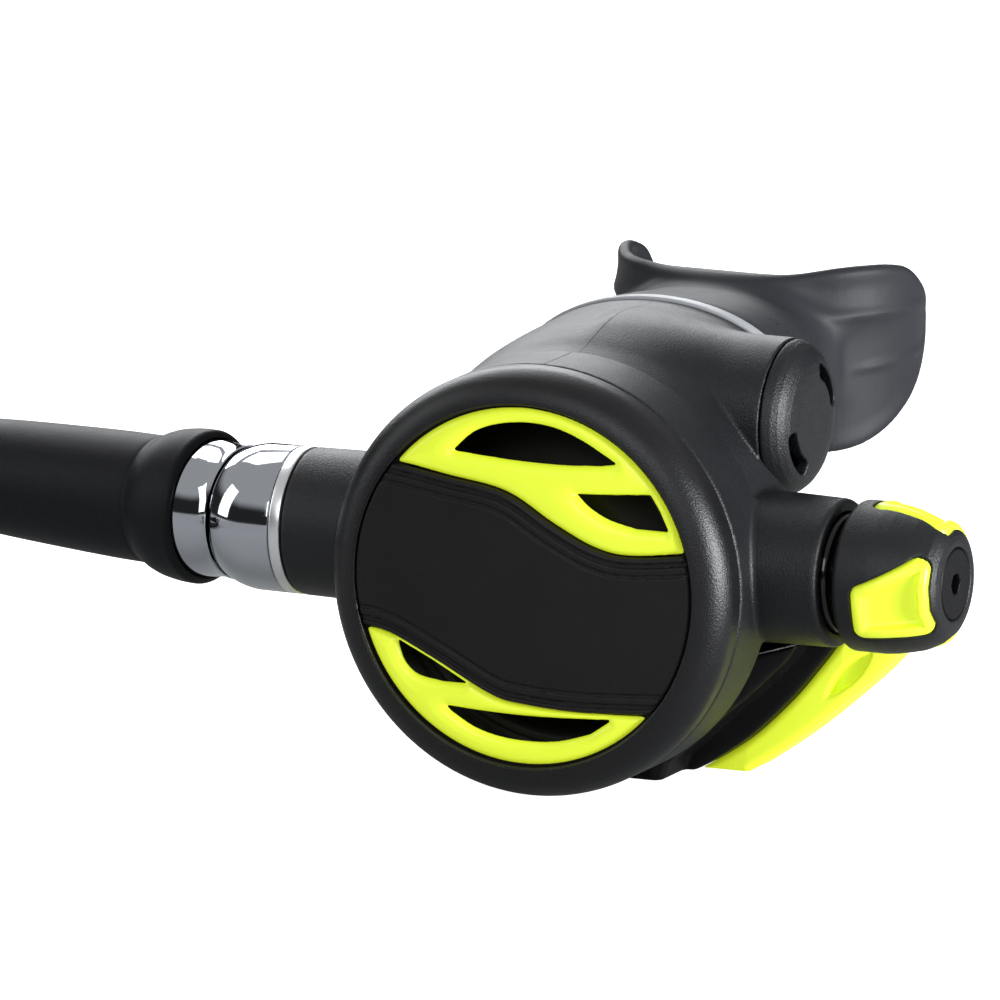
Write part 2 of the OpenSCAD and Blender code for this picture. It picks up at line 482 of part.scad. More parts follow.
// Inlet: polished ring, chrome swivel sleeve with a ball end, and the cup that rides on it
sleeve_r = 12;
neck_r = 4.4;
module inlet_ring() color("#dcdee0") place() on_tube() polygon([[8.3, arm_left - 3], [9.3, arm_left - 3],
    [9.3, arm_left - 2], [arm_r - 0.3, arm_left - 2], [arm_r, arm_left - 1.7], [arm_r, arm_left - 0.3],
    [arm_r - 0.3, arm_left], [8.3, arm_left]]);
sleeve_x0 = arm_left - 2.1;
function ball_edge(r, a0, a1, n = 10) = [for (i = [0:n]) let (a = a0 + (a1 - a0) * i / n) [r * cos(a), ball_x - r * sin(a)]];
module swivel_sleeve() color("#c8cace") place() on_tube() polygon(concat(
    [[9.35, sleeve_x0], [sleeve_r - 0.4, sleeve_x0], [sleeve_r, sleeve_x0 - 0.4]], ball_edge(sleeve_r, 0, 35.7),
    [[7.4, ball_x - 7], [6.6, ball_x - 4.6]], ball_edge(8.05, 34, 0, 8),
    [[8.05, ball_x + 1.6], [9.2, ball_x + 1.6], [9.2, ball_x + 2.8], [9.35, ball_x + 2.8]]));
module at_ball() { translate([ball_x, tube_y, tube_z]) rotate([0, 0, -swing]) children(); }
// A turned piece on the swung hose axis; its profile is [radius, distance from the ball's centre]
module on_hose() { at_ball() rotate([0, -90, 0]) rotate_extrude() children(); }
module swivel_ball() color("#c8cace") place() on_hose() polygon(concat([[2.5, -3.6]],
    [for (i = [0:9]) let (a = -26.7 + i * 9.3) [8 * cos(a), 8 * sin(a)]], [[neck_r, 6.8], [neck_r, 9.6]],
    [for (i = [0:8]) let (a = 54 - i * 3.2) [(sleeve_r + 0.25) * cos(a), (sleeve_r + 0.25) * sin(a)]],
    [[10.95, 6.2], [10.75, 7.2], [10.9, 9], [11.3, 12], [11.3, 13.5], [6, 13.5], [6, 16], [2.5, 16]]));
module swivel_o_ring() color("#1c1d1f") place() on_tube()
    polygon([[7.85, ball_x + 1.65], [9.2, ball_x + 1.65], [9.2, ball_x + 2.75], [7.85, ball_x + 2.75]]);

// Hose protector: lipped mouth over the cup, collar, groove, long taper
protector_end = lip_s + protector_len;
protector_profile = concat([[11.35, lip_s + 0.4], [11.75, lip_s]], arc([11.2, lip_s + 1.4], 1.2, -20, 10, 3),
    [[12.5, lip_s + 5], [12.3, lip_s + 10], [11.6, lip_s + 13], [10.7, lip_s + 14.6], [10.45, lip_s + 15.6],
    [10.5, lip_s + 17], [10.3, lip_s + 24], [9.6, lip_s + 40], [8.6, lip_s + 56], [7.6, protector_end - 2],
    [protector_tip_r, protector_end], [hose_d / 2, protector_end], [hose_d / 2, lip_s + 7], [11.35, lip_s + 6.8]]);
module hose_protector() color("#2c2d30") place() on_hose() polygon(protector_profile);

// The hose's end inside the protector
module hose_stub() color("#28292c") place() on_hose() polygon([[3, 16], [hose_d / 2 - fit, 16],
    [hose_d / 2 - fit, protector_end], [3, protector_end]]);

// Free hose: route points from the protector's mouth down to the coil, hand-set in millimetres
// along the run and up from the surface, on a line in the swung hose's direction
run_points = [[0, 37], [6, 37], [12, 37], [18, 36.7], [24, 35.6], [32, 33.3], [40, 30], [48, 26.1], [56, 21.9],
    [64, 17.6], [72, 13.7], [80, 10.4], [88, 8.1], [94, 7.1], [100, 6.75], [108, 6.75]];
coil_z = 6.75;         // hose axis over the surface, on its tie
run_shift = 20;        // how far the run bears off to the side
coil_r = 72.5;           // radius where the run joins the coil
coil_pitch = 13;
spiral_turns = 1.505;  // turns of the spiral
climb = 92;            // its last stretch climbs, so that the end lies on the outer turn
climb_to = 2 * coil_z + 7.2;
hose_dir = [-cos(swing), sin(swing), 0];
hose_side = [sin(swing), cos(swing), 0];
hose_exit = [ball_x + origin_x, tube_y + origin_y, 0] + protector_end * hose_dir;
function run_at(p) = hose_exit + p[0] * hose_dir
    + run_shift * (1 - cos(180 * p[0] / 108)) / 2 * hose_side + [0, 0, p[1] + (tube_z + case_r - 37) * (1 - p[0] / 108)];
run_end = run_at(run_points[len(run_points) - 1]);
coil_lead = 12;        // straight lead into the coil
coil_centre = run_end + coil_lead * hose_dir - coil_r * hose_side;
function polar(r, a) = r * (cos(a) * hose_side + sin(a) * hose_dir);
// The spiral at a turns angle
function spiral_r(a) = coil_r - coil_pitch * a / 360;
spiral_a = 360 * spiral_turns;
climb_a = 180 / PI * climb / spiral_r(spiral_a);
function spiral_at(a) = coil_centre + polar(spiral_r(a), a)
    + [0, 0, (climb_to - coil_z) * (1 - cos(180 * max(0, 1 - (spiral_a - a) / climb_a))) / 2];
function unit(v) = v / norm(v);
module hose_tube(path, r, sides, start_dir, end_dir) {
    m = len(path);
    skin([for (i = [0:m - 1])
        let (t = i == 0 ? start_dir : i == m - 1 ? end_dir : unit(path[i + 1] - path[i - 1]),
            side = unit(cross(t, [0, 0, 1])), up = cross(side, t))
        [for (j = [0:sides - 1]) let (b = 360 * (j + 0.5) / sides) path[i] + r * (cos(b) * side + sin(b) * up)]]);
}
ring_step = 15;        // degrees between the coil's rings
spiral_n = round(spiral_a / ring_step);
end_at = spiral_at(spiral_a) - spiral_at(spiral_a - 0.1);
coil_end_dir = unit([end_at[0], end_at[1], 0]);
end_lead = 20;
coil_end = spiral_at(spiral_a) + end_lead * coil_end_dir;
coil_path = concat([run_end], [for (i = [0:spiral_n]) spiral_at(spiral_a * i / spiral_n)],
    [spiral_at(spiral_a) + 10 * coil_end_dir, coil_end]);
module hose_run() color("#28292c") hose_tube([for (p = run_points) run_at(p)], hose_d / 2, 10, hose_dir, hose_dir);
module hose_coil() color("#28292c") hose_tube(coil_path, hose_d / 2, 6, hose_dir, coil_end_dir);
// Least gap of the coil to itself, between points that are more than half a turn apart along it
echo(coil_least_gap = min([for (i = [0:len(coil_path) - 13]) for (j = [i + 12:len(coil_path) - 1])
    norm(coil_path[i] - coil_path[j])]) - hose_d);
function path_length(p, i = 0) = i < len(p) - 1 ? norm(p[i + 1] - p[i]) + path_length(p, i + 1) : 0;
echo(hose_length = path_length([for (p = run_points) run_at(p)]) + path_length(coil_path));

// A strap holds the doubled turns together
tie_a = 10;
tie_t = 0.7;
module hose_tie() color("#1a1b1d") translate((spiral_at(tie_a) + spiral_at(tie_a + 360)) / 2)
    rotate([0, 0, 90 - swing + tie_a]) difference() {
        tie_body(hose_d / 2 + 0.05 + tie_t, 0);
        tie_body(hose_d / 2 + 0.05, 1);
    }
module tie_body(r, extra) {
    rotate([90, 0, 0]) translate([0, 0, -6 - extra]) linear_extrude(12 + 2 * extra) union() {
        for (x = [-coil_pitch / 2, coil_pitch / 2]) translate([x, 0]) circle(r = r);
        square([coil_pitch, 2 * r], center = true);
    }
}

// Far end: crimped ferrule, hexagon, O-ring and the male thread's shank
ferrule_len = 22;
module at_end() { translate(coil_end) rotate([0, 0, atan2(coil_end_dir[1], coil_end_dir[0])]) rotate([0, 90, 0]) children(); }
module end_ferrule() color("#c2c5c9") at_end() rotate_extrude() polygon([[0, 0], [6.9, 0], [7.2, 0.4], [7.2, 6],
    [6.8, 7], [7.2, 8], [7.2, 12], [6.8, 13], [7.2, 14], [7.2, ferrule_len - 0.4], [6.9, ferrule_len], [0, ferrule_len]]);
module end_fitting() color("#c2c5c9") at_end() translate([0, 0, ferrule_len]) {
    rotate(30) cylinder(r = 8, h = 9, $fn = 6);
    difference() {
        union() {
            translate([0, 0, 9 - eps]) cylinder(r = 3.8, h = 3);
            translate([0, 0, 11.4]) cylinder(r = 4.76, h = 8);
        }
        translate([0, 0, 10]) cylinder(r = 2.4, h = 12);
    }
}
module end_o_ring() color("#1c1d1f") at_end() translate([0, 0, ferrule_len]) rotate_extrude()
    translate([4.75, 10.2]) circle(r = 0.94, $fn = 24);

case();
retaining_ring();
clamp_washer();
diaphragm();
diaphragm_plate();
cover_band();
upper_grille();
lower_grille();
valve_tube();
inlet_orifice();
poppet();
poppet_seat();
poppet_spring();
demand_lever();
adjusting_spindle();
spindle_o_ring();
packing_nut();
adjustment_knob();
knob_grips();
knob_end_plug();
vane_cap();
flow_vane();
vane_spring();
exhaust_valve();
exhaust_deflector();
left_trim();
right_trim();
mouthpiece();
mouthpiece_clamp();
inlet_ring();
swivel_sleeve();
swivel_ball();
swivel_o_ring();
hose_protector();
hose_stub();
hose_run();
hose_coil();
hose_tie();
end_ferrule();
end_fitting();
end_o_ring();
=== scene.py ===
"""Scuba regulator second stage: camera, hose, moulded and turned pieces, finishes and studio light."""
import bpy
import math
import numpy as np
from mathutils import Matrix, Vector


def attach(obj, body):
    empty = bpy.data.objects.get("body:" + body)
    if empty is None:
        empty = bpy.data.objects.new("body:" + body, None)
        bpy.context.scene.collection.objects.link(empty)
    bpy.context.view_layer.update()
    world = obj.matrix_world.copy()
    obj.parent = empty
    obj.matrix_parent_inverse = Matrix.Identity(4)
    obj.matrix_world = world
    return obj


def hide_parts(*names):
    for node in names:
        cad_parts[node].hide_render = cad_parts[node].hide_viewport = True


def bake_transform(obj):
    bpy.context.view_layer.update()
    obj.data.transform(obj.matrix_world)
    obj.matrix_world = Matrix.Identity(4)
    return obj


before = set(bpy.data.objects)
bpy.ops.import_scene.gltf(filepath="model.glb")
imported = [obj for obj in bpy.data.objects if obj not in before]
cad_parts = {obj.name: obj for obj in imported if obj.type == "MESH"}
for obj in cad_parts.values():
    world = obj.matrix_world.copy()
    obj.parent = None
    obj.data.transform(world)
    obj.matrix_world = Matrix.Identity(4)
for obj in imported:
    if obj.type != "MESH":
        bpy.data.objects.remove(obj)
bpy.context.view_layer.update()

# The case's own frame is in millimetres, from the middle of the seam between ring and case, which lies here
ORIGIN = np.array([38.2877, -45.0, 35.0])
MM = 0.001

# In that frame: the seam's radius, the axis of the valve tube, the inlet's end and ball on it, the axis of the
# flow control's boss, the height of the mouthpiece's neck, and the middle and axis of the exhaust port
SEAM_R = 35
TUBE_Y, TUBE_Z = 16.5, 2.0
ARM_LEFT, BALL_X = -48.6, -55.1
CAP_Y, CAP_Z = 31, 23.5
NECK_Z = 23.2
PORT_Y, PORT_Z = 18, -15
PORT_AXIS = np.array([0, math.sin(math.radians(55)), -math.cos(math.radians(55))])


def place(points):
    """From the case's own frame to the row frame, in metres."""
    return (np.asarray(points, float) + ORIGIN) * MM


# ---------------------------------------------------------------- camera
def set_camera():
    """A long lens that looks at the case from the front right, a little from above."""
    turn, rise, roll = math.radians(24.3), math.radians(11.6), math.radians(0.4)
    distance, shift_x, shift_y = 3.422, -0.00663, 0.01257
    back = Vector((math.sin(turn) * math.cos(rise), -math.cos(turn) * math.cos(rise), math.sin(rise)))
    right = Vector((math.cos(turn), math.sin(turn), 0))
    up = back.cross(right)
    x_axis = right * math.cos(roll) + up * math.sin(roll)
    y_axis = up * math.cos(roll) - right * math.sin(roll)
    data = bpy.data.cameras.new("camera")
    data.lens, data.sensor_width, data.sensor_fit = 768.0, 36.0, "HORIZONTAL"
    data.clip_start, data.clip_end = 0.1, 40
    camera = bpy.data.objects.new("camera", data)
    bpy.context.scene.collection.objects.link(camera)
    at = Vector(ORIGIN) * MM + back * distance + x_axis * shift_x + y_axis * shift_y
    camera.matrix_world = Matrix((
        (x_axis.x, y_axis.x, back.x, at.x),
        (x_axis.y, y_axis.y, back.y, at.y),
        (x_axis.z, y_axis.z, back.z, at.z),
        (0, 0, 0, 1)))
    bpy.context.scene.camera = camera


set_camera()


# ---------------------------------------------------------------- finishes
class Value:
    """A socket's value, so that shader maths reads as plain arithmetic."""

    def __init__(self, graph, socket):
        self.graph, self.socket = graph, socket

    def _do(self, operation, first, second):
        return self.graph.node("Math", {"operation": operation}, {0: first, 1: second})

    def __add__(self, other):
        return self._do("ADD", self, other)

    def __sub__(self, other):
        return self._do("SUBTRACT", self, other)

    def __rsub__(self, other):
        return self._do("SUBTRACT", other, self)

    def __mul__(self, other):
        return self._do("MULTIPLY", self, other)

    __radd__ = __add__
    __rmul__ = __mul__

    def clamp(self, low=0.0, high=1.0):
        return self.graph.node("Clamp", {}, {"Value": self, "Min": low, "Max": high})


class Graph:
    """The node tree of a material or world."""

    def __init__(self, owner, empty=False):
        owner.use_nodes = True
        self.tree = owner.node_tree
        if empty:
            self.tree.nodes.clear()

    def put(self, node, socket, value):
        """Link a socket to a Value, or set it; None leaves it alone."""
        if isinstance(value, Value):
            self.tree.links.new(value.socket, node.inputs[socket])
        elif value is not None:
            node.inputs[socket].default_value = value

    def node(self, kind, settings, inputs, output=0):
        """Any node: its settings first, then values or links for its sockets."""
        made = self.tree.nodes.new("ShaderNode" + kind)
        for name, value in settings.items():
            setattr(made, name, value)
        for socket, value in inputs.items():
            self.put(made, socket, value)
        return Value(self, made.outputs[output])

    def mix(self, factor, low, high):
        return self.node("Mix", {"data_type": "RGBA"}, {0: factor, 6: low, 7: high}, 2)

    def end(self, kind, value):
        """The tree's output node, fed by value."""
        self.put(self.tree.nodes.new("ShaderNode" + kind), 0, value)


class Finish(Graph):
    """A material with one Principled shader."""

    def __init__(self, name, **fixed):
        self.material = bpy.data.materials.new(name)
        super().__init__(self.material)
        self.shader = self.tree.nodes["Principled BSDF"]
        for socket, value in fixed.items():
            self.set(socket.replace("_", " "), value)

    def set(self, socket, value):
        self.put(self.shader, socket, value)

    def where(self):
        return self.node("TexCoord", {}, {}, "Object")

    def noise(self, scale, detail=3.0, roughness=0.5, stretch=None):
        at = self.where()
        if stretch:
            at = self.node("Mapping", {}, {"Vector": at, "Scale": stretch})
        return self.node("TexNoise", {"noise_dimensions": "3D"},
                         {"Vector": at, "Scale": scale, "Detail": detail, "Roughness": roughness})

    def bump(self, height, strength, distance, under=None):
        return self.node("Bump", {}, {
            "Height": height, "Strength": strength, "Distance": distance, "Normal": under})


def shade(r, g, b):
    """A colour in display values from 0 to 255 as linear values."""
    lin = [((c / 255 + 0.055) / 1.055) ** 2.4 if c > 10 else c / 255 / 12.92 for c in (r, g, b)]
    return (*lin, 1.0)


def moulded(name, low, high, rough, grain, depth, spread=0.07, **fixed):
    """Moulded plastic or rubber: fine spark-eroded grain, slow changes of tone, faint handling marks."""
    f = Finish(name, **fixed)
    fine = f.noise(grain, 2.0, 0.6)
    coarse = f.noise(90, 4.0, 0.55)
    rubbed = f.noise(420, 3.0, 0.7, (1, 1, 0.35))
    tone = (coarse * 0.7 + fine * 0.3).clamp()
    f.set("Base Color", f.mix(tone, low, high))
    f.set("Roughness", (rough - spread / 2 + coarse * spread + (rubbed - 0.5) * spread).clamp(0.05, 1))
    f.set("Normal", f.bump(fine, 1.0, depth, f.bump(coarse, 0.12, 0.0002)))
    return f.material


def polished(name, low, high, rough, **fixed):
    """Plated metal: nearly clean, with faint polishing lines and water marks."""
    f = Finish(name, Metallic=1.0, **fixed)
    lines = f.noise(260, 2.0, 0.5, (12, 1, 1))
    marks = f.noise(130, 4.0, 0.6)
    spots = ((marks - 0.62) * 9).clamp()
    f.set("Base Color", f.mix(spots * 0.35 + lines * 0.1, high, low))
    f.set("Roughness", (rough + spots * 0.1 + (lines - 0.5) * 0.03).clamp(0.02, 1))
    f.set("Normal", f.bump(lines, 0.05, 0.00002))
    return f.material


BLACK = {"Specular_IOR_Level": 0.36}
MATTE = {"Specular_IOR_Level": 0.14}
CASE = moulded("grained case plastic", shade(15, 16, 18), shade(24, 25, 28), 0.42, 3200, 0.0001, **BLACK)
RING = moulded("satin ring plastic", shade(13, 13, 15), shade(21, 21, 23), 0.36, 3200, 0.00007, **BLACK)
BAND = moulded("smooth cover elastomer", shade(25, 23, 24), shade(32, 30, 31), 0.4, 5200, 0.00002, **MATTE)
DARK = moulded("dark duct plastic", shade(8, 8, 9), shade(14, 14, 16), 0.4, 3600, 0.00004, **MATTE)
GLOSS = moulded("gloss black nylon", shade(8, 8, 9), shade(13, 13, 15), 0.12, 2400, 0.00001, 0.04)
# The lime also glows faintly though it is no lamp: painted light that brightens its shaded sides and the trims
# that face down
LIME = moulded("lime plastic with painted glow", shade(198, 214, 46), shade(208, 224, 60), 0.34, 4200, 0.00001, 0.06,
               Emission_Color=shade(222, 240, 40), Emission_Strength=0.38)
SILICONE = moulded("dark silicone", shade(36, 37, 40), shade(48, 49, 53), 0.48, 2600, 0.00002, 0.08, **MATTE)
SOFT = moulded("thin silicone", shade(16, 16, 18), shade(24, 24, 26), 0.5, 2600, 0.00002, 0.08, **BLACK)
STRAP = moulded("pale strap nylon", shade(150, 152, 156), shade(170, 172, 176), 0.4, 3000, 0.00001)
RUBBER = moulded("matte protector rubber", shade(15, 16, 18), shade(23, 24, 27), 0.5, 2800, 0.00004, **MATTE)
SEAL = moulded("seal rubber", shade(20, 20, 21), shade(27, 27, 28), 0.4, 2800, 0.00001)
VANE = moulded("grey vane plastic", shade(34, 35, 37), shade(44, 45, 48), 0.45, 3600, 0.00002)
POPPET = moulded("white acetal", shade(205, 206, 206), shade(222, 222, 221), 0.4, 3000, 0.00001)
CHROME = polished("chrome plate", shade(160, 164, 171), shade(198, 202, 209), 0.05)
SATIN = polished("satin chrome", shade(226, 228, 231), shade(244, 245, 247), 0.3)
STEEL = polished("bright steel", shade(170, 172, 176), shade(205, 207, 210), 0.22)
BRASS = polished("turned brass", shade(178, 142, 74), shade(214, 182, 110), 0.2)


def hose_finish():
    """Hose rubber with the fine diagonal print of the cloth it was cured in."""
    f = Finish("cured hose rubber", **MATTE)
    print_lines = f.node("TexWave", {"bands_direction": "DIAGONAL"},
                         {"Vector": f.where(), "Scale": 900, "Distortion": 0.4})
    fine = f.noise(3000, 2.0, 0.6)
    coarse = f.noise(70, 4.0, 0.55)
    f.set("Base Color", f.mix(coarse, shade(17, 17, 19), shade(26, 26, 29)))
    f.set("Roughness", (0.5 + coarse * 0.12).clamp(0.05, 1))
    f.set("Normal", f.bump(print_lines * 0.6 + fine * 0.4, 0.5, 0.00006))
    return f.material


HOSE = hose_finish()

CAD_FINISH = {
    "case": CASE, "vane_cap": CASE, "adjustment_knob": CASE, "retaining_ring": RING, "cover_band": BAND,
    "exhaust_deflector": DARK, "knob_end_plug": DARK, "packing_nut": GLOSS, "upper_grille": LIME,
    "lower_grille": LIME, "knob_grips": LIME, "left_trim": LIME, "right_trim": LIME, "mouthpiece": SILICONE,
    "diaphragm": SOFT, "exhaust_valve": SOFT, "mouthpiece_clamp": STRAP, "inlet_ring": SATIN,
    "swivel_sleeve": CHROME, "swivel_ball": CHROME, "valve_tube": STEEL, "adjusting_spindle": STEEL,
    "inlet_orifice": BRASS, "poppet": POPPET, "demand_lever": STEEL, "poppet_spring": STEEL,
    "vane_spring": STEEL, "diaphragm_plate": STEEL, "clamp_washer": STEEL, "poppet_seat": SEAL,
    "spindle_o_ring": SEAL, "swivel_o_ring": SEAL, "end_o_ring": SEAL, "flow_vane": VANE,
    "hose_protector": RUBBER, "hose_tie": RUBBER, "hose_stub": HOSE, "hose_run": HOSE, "hose_coil": HOSE,
    "end_ferrule": CHROME, "end_fitting": CHROME,
}
for node, material in CAD_FINISH.items():
    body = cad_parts[node]
    body.data.materials.clear()
    body.data.materials.append(material)


# ---------------------------------------------------------------- mesh tools
def object_of(name, vertices, faces, material, normals=None):
    """A smooth mesh object from vertices in metres and lists of their numbers."""
    mesh = bpy.data.meshes.new(name)
    mesh.from_pydata(np.asarray(vertices, float).tolist(), [], faces)
    mesh.materials.append(material)
    mesh.shade_smooth()
    if normals is not None:
        mesh.normals_split_custom_set_from_vertices(normals.tolist())
    made = bpy.data.objects.new(name, mesh)
    bpy.context.scene.collection.objects.link(made)
    return made


def tube(name, path, radius, material, sides=32):
    """A round tube along points in metres, closed at both ends; radius is one number or one per point."""
    path = np.asarray(path, float)
    radius = np.broadcast_to(radius, len(path))
    along = np.gradient(path, axis=0)
    along /= np.linalg.norm(along, axis=1)[:, None]
    side = np.cross(along, [0, 0, 1.0])
    side /= np.linalg.norm(side, axis=1)[:, None]
    up = np.cross(side, along)
    turn = np.linspace(0, 2 * math.pi, sides, endpoint=False)[None, :, None]
    round_way = np.cos(turn) * side[:, None] + np.sin(turn) * up[:, None]
    rings = path[:, None] + radius[:, None, None] * round_way
    vertices = [*rings.reshape(-1, 3), path[0], path[-1]]
    first, last = len(vertices) - 2, len(vertices) - 1
    end = (len(path) - 1) * sides
    faces = [[i + j, i + (j + 1) % sides, i + sides + (j + 1) % sides, i + sides + j]
             for i in range(0, end, sides) for j in range(sides)]
    faces += [[first, (j + 1) % sides, j] for j in range(sides)]
    faces += [[last, end + j, end + (j + 1) % sides] for j in range(sides)]
    return object_of(name, vertices, faces, material)


def spline(p, n):
    """A smooth line through all points but the first and last, n steps to a stretch."""
    out = [0.5 * (2 * b + (c - a) * t + (2 * a - 5 * b + 4 * c - d) * t * t
                  + (3 * b - a - 3 * c + d) * t ** 3)
           for a, b, c, d in zip(p, p[1:], p[2:], p[3:]) for t in np.arange(n) / n]
    return np.array([*out, p[-2]])


def along_curve(points, step):
    """A smooth curve through points, as points a step apart along it."""
    p = np.asarray(points, float)
    fine = spline(np.vstack([2 * p[0] - p[1], p, 2 * p[-1] - p[-2]]), 12)
    reach = np.concatenate([[0], np.cumsum(np.linalg.norm(np.diff(fine, axis=0), axis=1))])
    at = np.linspace(0, reach[-1], max(2, round(reach[-1] / step)) + 1)
    return np.column_stack([np.interp(at, reach, fine[:, k]) for k in range(3)])


# ---------------------------------------------------------------- solid fields
# A field gives the signed distance in millimetres at points in the case's own frame: negative inside.
def union(a, b, k=0.0):
    """The two together, with a fillet of about k where they meet."""
    k = np.maximum(k, 1e-6)
    h = np.maximum(k - np.abs(a - b), 0) / k
    return np.minimum(a, b) - h * h * k / 4


def cut(a, b, k=0.0):
    """a without b, with an edge rounded by about k."""
    return -union(-a, b, k)


def both(a, b, k=0.0):
    """Where a and b overlap, with an edge rounded by about k."""
    return -union(-a, -b, k)


def slab(value, middle, half):
    """Between two planes or two parallel surfaces."""
    return np.abs(value - middle) - half


def outline(u, v, corners):
    """Signed distance to a closed outline in a plane."""
    corners = np.asarray(corners, float)
    near, inside = np.full(u.shape, 1e9), np.zeros(u.shape, bool)
    for (ax, ay), (bx, by) in zip(corners, np.roll(corners, -1, axis=0)):
        ex, ey = bx - ax, by - ay
        if ex == 0 and ey == 0:
            continue
        wx, wy = u - ax, v - ay
        t = np.clip((wx * ex + wy * ey) / (ex * ex + ey * ey), 0, 1)
        near = np.minimum(near, (wx - t * ex) ** 2 + (wy - t * ey) ** 2)
        if ey:
            inside ^= ((ay > v) != (by > v)) & (u < ex * (v - ay) / ey + ax)
    return np.where(inside, -1, 1) * np.sqrt(near)


def turned(radius, along, profile):
    """A turned piece: profile is [radius, place along its axis] from the axis out and back to it.
    Both ends are drawn on past the axis, so that the axis itself is no edge."""
    far = -60
    return outline(radius, along, [[far, profile[0][1]], *profile[1:-1], [far, profile[-1][1]]])


def puck(radius, along, r, low, high, rim=0.0):
    """A short round piece with a rounded rim."""
    dr, da = radius - (r - rim), slab(along, (low + high) / 2, (high - low) / 2 - rim)
    return np.minimum(np.maximum(dr, da), 0) + np.hypot(np.maximum(dr, 0), np.maximum(da, 0)) - rim


def oval(u, v, a, b, power=2.0):
    """Close to the distance to an oval with half sizes a and b."""
    k = (np.abs(u / a) ** power + np.abs(v / b) ** power) ** (1 / power) + 1e-9
    slope = np.hypot((np.abs(u / a) / k) ** (power - 1) / a, (np.abs(v / b) / k) ** (power - 1) / b)
    return (k - 1) / np.maximum(slope, 1e-4)


def smooth_line(points, n=6):
    """An open smooth line through points, n steps to a stretch."""
    p = np.asarray(points, float)
    return spline(np.vstack([p[0], p, p[-1]]), n)


def slope(field, points, h=0.02):
    """The field's gradient by differences."""
    out = np.empty_like(points)
    for k in range(3):
        step = np.zeros(3)
        step[k] = h
        out[:, k] = (field(points + step) - field(points - step)) / (2 * h)
    return out


def solid(name, field, low, high, cell, material, settle=3):
    """The field's surface as one closed mesh of quads, with its normals taken from the field."""
    low, high = np.array(low, float), np.array(high, float)
    count = np.ceil((high - low) / cell).astype(int) + 1
    axes = [low[k] + cell * np.arange(count[k]) for k in range(3)]
    values = np.empty(count)
    for i in range(0, count[0], 24):
        block = np.stack(np.meshgrid(axes[0][i:i + 24], axes[1], axes[2], indexing="ij"), -1)
        values[i:i + 24] = field(block.reshape(-1, 3)).reshape(block.shape[:3])
    inside = values < 0
    corner = [(a, b, c) for a in (0, 1) for b in (0, 1) for c in (0, 1)]
    size = tuple(count - 1)
    window = {c: tuple(slice(c[k], c[k] + size[k]) for k in range(3)) for c in corner}
    full = np.zeros(size, int)
    for c in corner:
        full += inside[window[c]]
    active = (full > 0) & (full < 8)
    cells = np.argwhere(active)
    total, hits = np.zeros((len(cells), 3)), np.zeros(len(cells))
    for a in corner:
        for k in range(3):
            if a[k]:
                continue
            b = tuple(a[j] + (j == k) for j in range(3))
            va, vb = values[window[a]][active], values[window[b]][active]
            crosses = (va < 0) != (vb < 0)
            t = np.where(crosses, va / np.where(crosses, va - vb, 1), 0)
            point = np.array(a, float)[None] + t[:, None] * (np.arange(3) == k)
            total += point * crosses[:, None]
            hits += crosses
    points = low + cell * (cells + total / hits[:, None])
    index = np.full(size, -1)
    index[active] = np.arange(len(cells))
    faces = []
    for k in range(3):
        u, v = (k + 1) % 3, (k + 2) % 3
        lower = tuple(slice(0, -1) if j == k else slice(1, -1) for j in range(3))
        upper = tuple(slice(1, None) if j == k else slice(1, -1) for j in range(3))
        edge = np.argwhere(inside[lower] != inside[upper])
        start = edge + np.array([0 if j == k else 1 for j in range(3)])
        out = inside[lower][tuple(edge.T)]
        ring = []
        for du, dv in ((0, 0), (1, 0), (1, 1), (0, 1)):
            at = start.copy()
            at[:, u] -= du
            at[:, v] -= dv
            ring.append(index[tuple(at.T)])
        quad = np.stack(ring, 1)
        faces.append(np.where(out[:, None], quad, quad[:, ::-1]))
    faces = np.vstack(faces)
    faces = faces[(faces >= 0).all(1)]
    for _ in range(settle):
        g = slope(field, points)
        step = -field(points)[:, None] * g / np.maximum((g * g).sum(1), 0.2)[:, None]
        points = points + np.clip(step, -cell / 2, cell / 2)
    normals = slope(field, points, 0.1)
    normals /= np.maximum(np.linalg.norm(normals, axis=1), 1e-9)[:, None]
    return object_of(name, place(points), faces.tolist(), material, normals)


# ---------------------------------------------------------------- hose
SWING = math.radians(11)
HOSE_DIR = np.array([-math.cos(SWING), math.sin(SWING), 0])
HOSE_SIDE = np.array([math.sin(SWING), math.cos(SWING), 0])
BALL = np.array([BALL_X, TUBE_Y, TUBE_Z])
EXIT = place(BALL + 87 * HOSE_DIR)


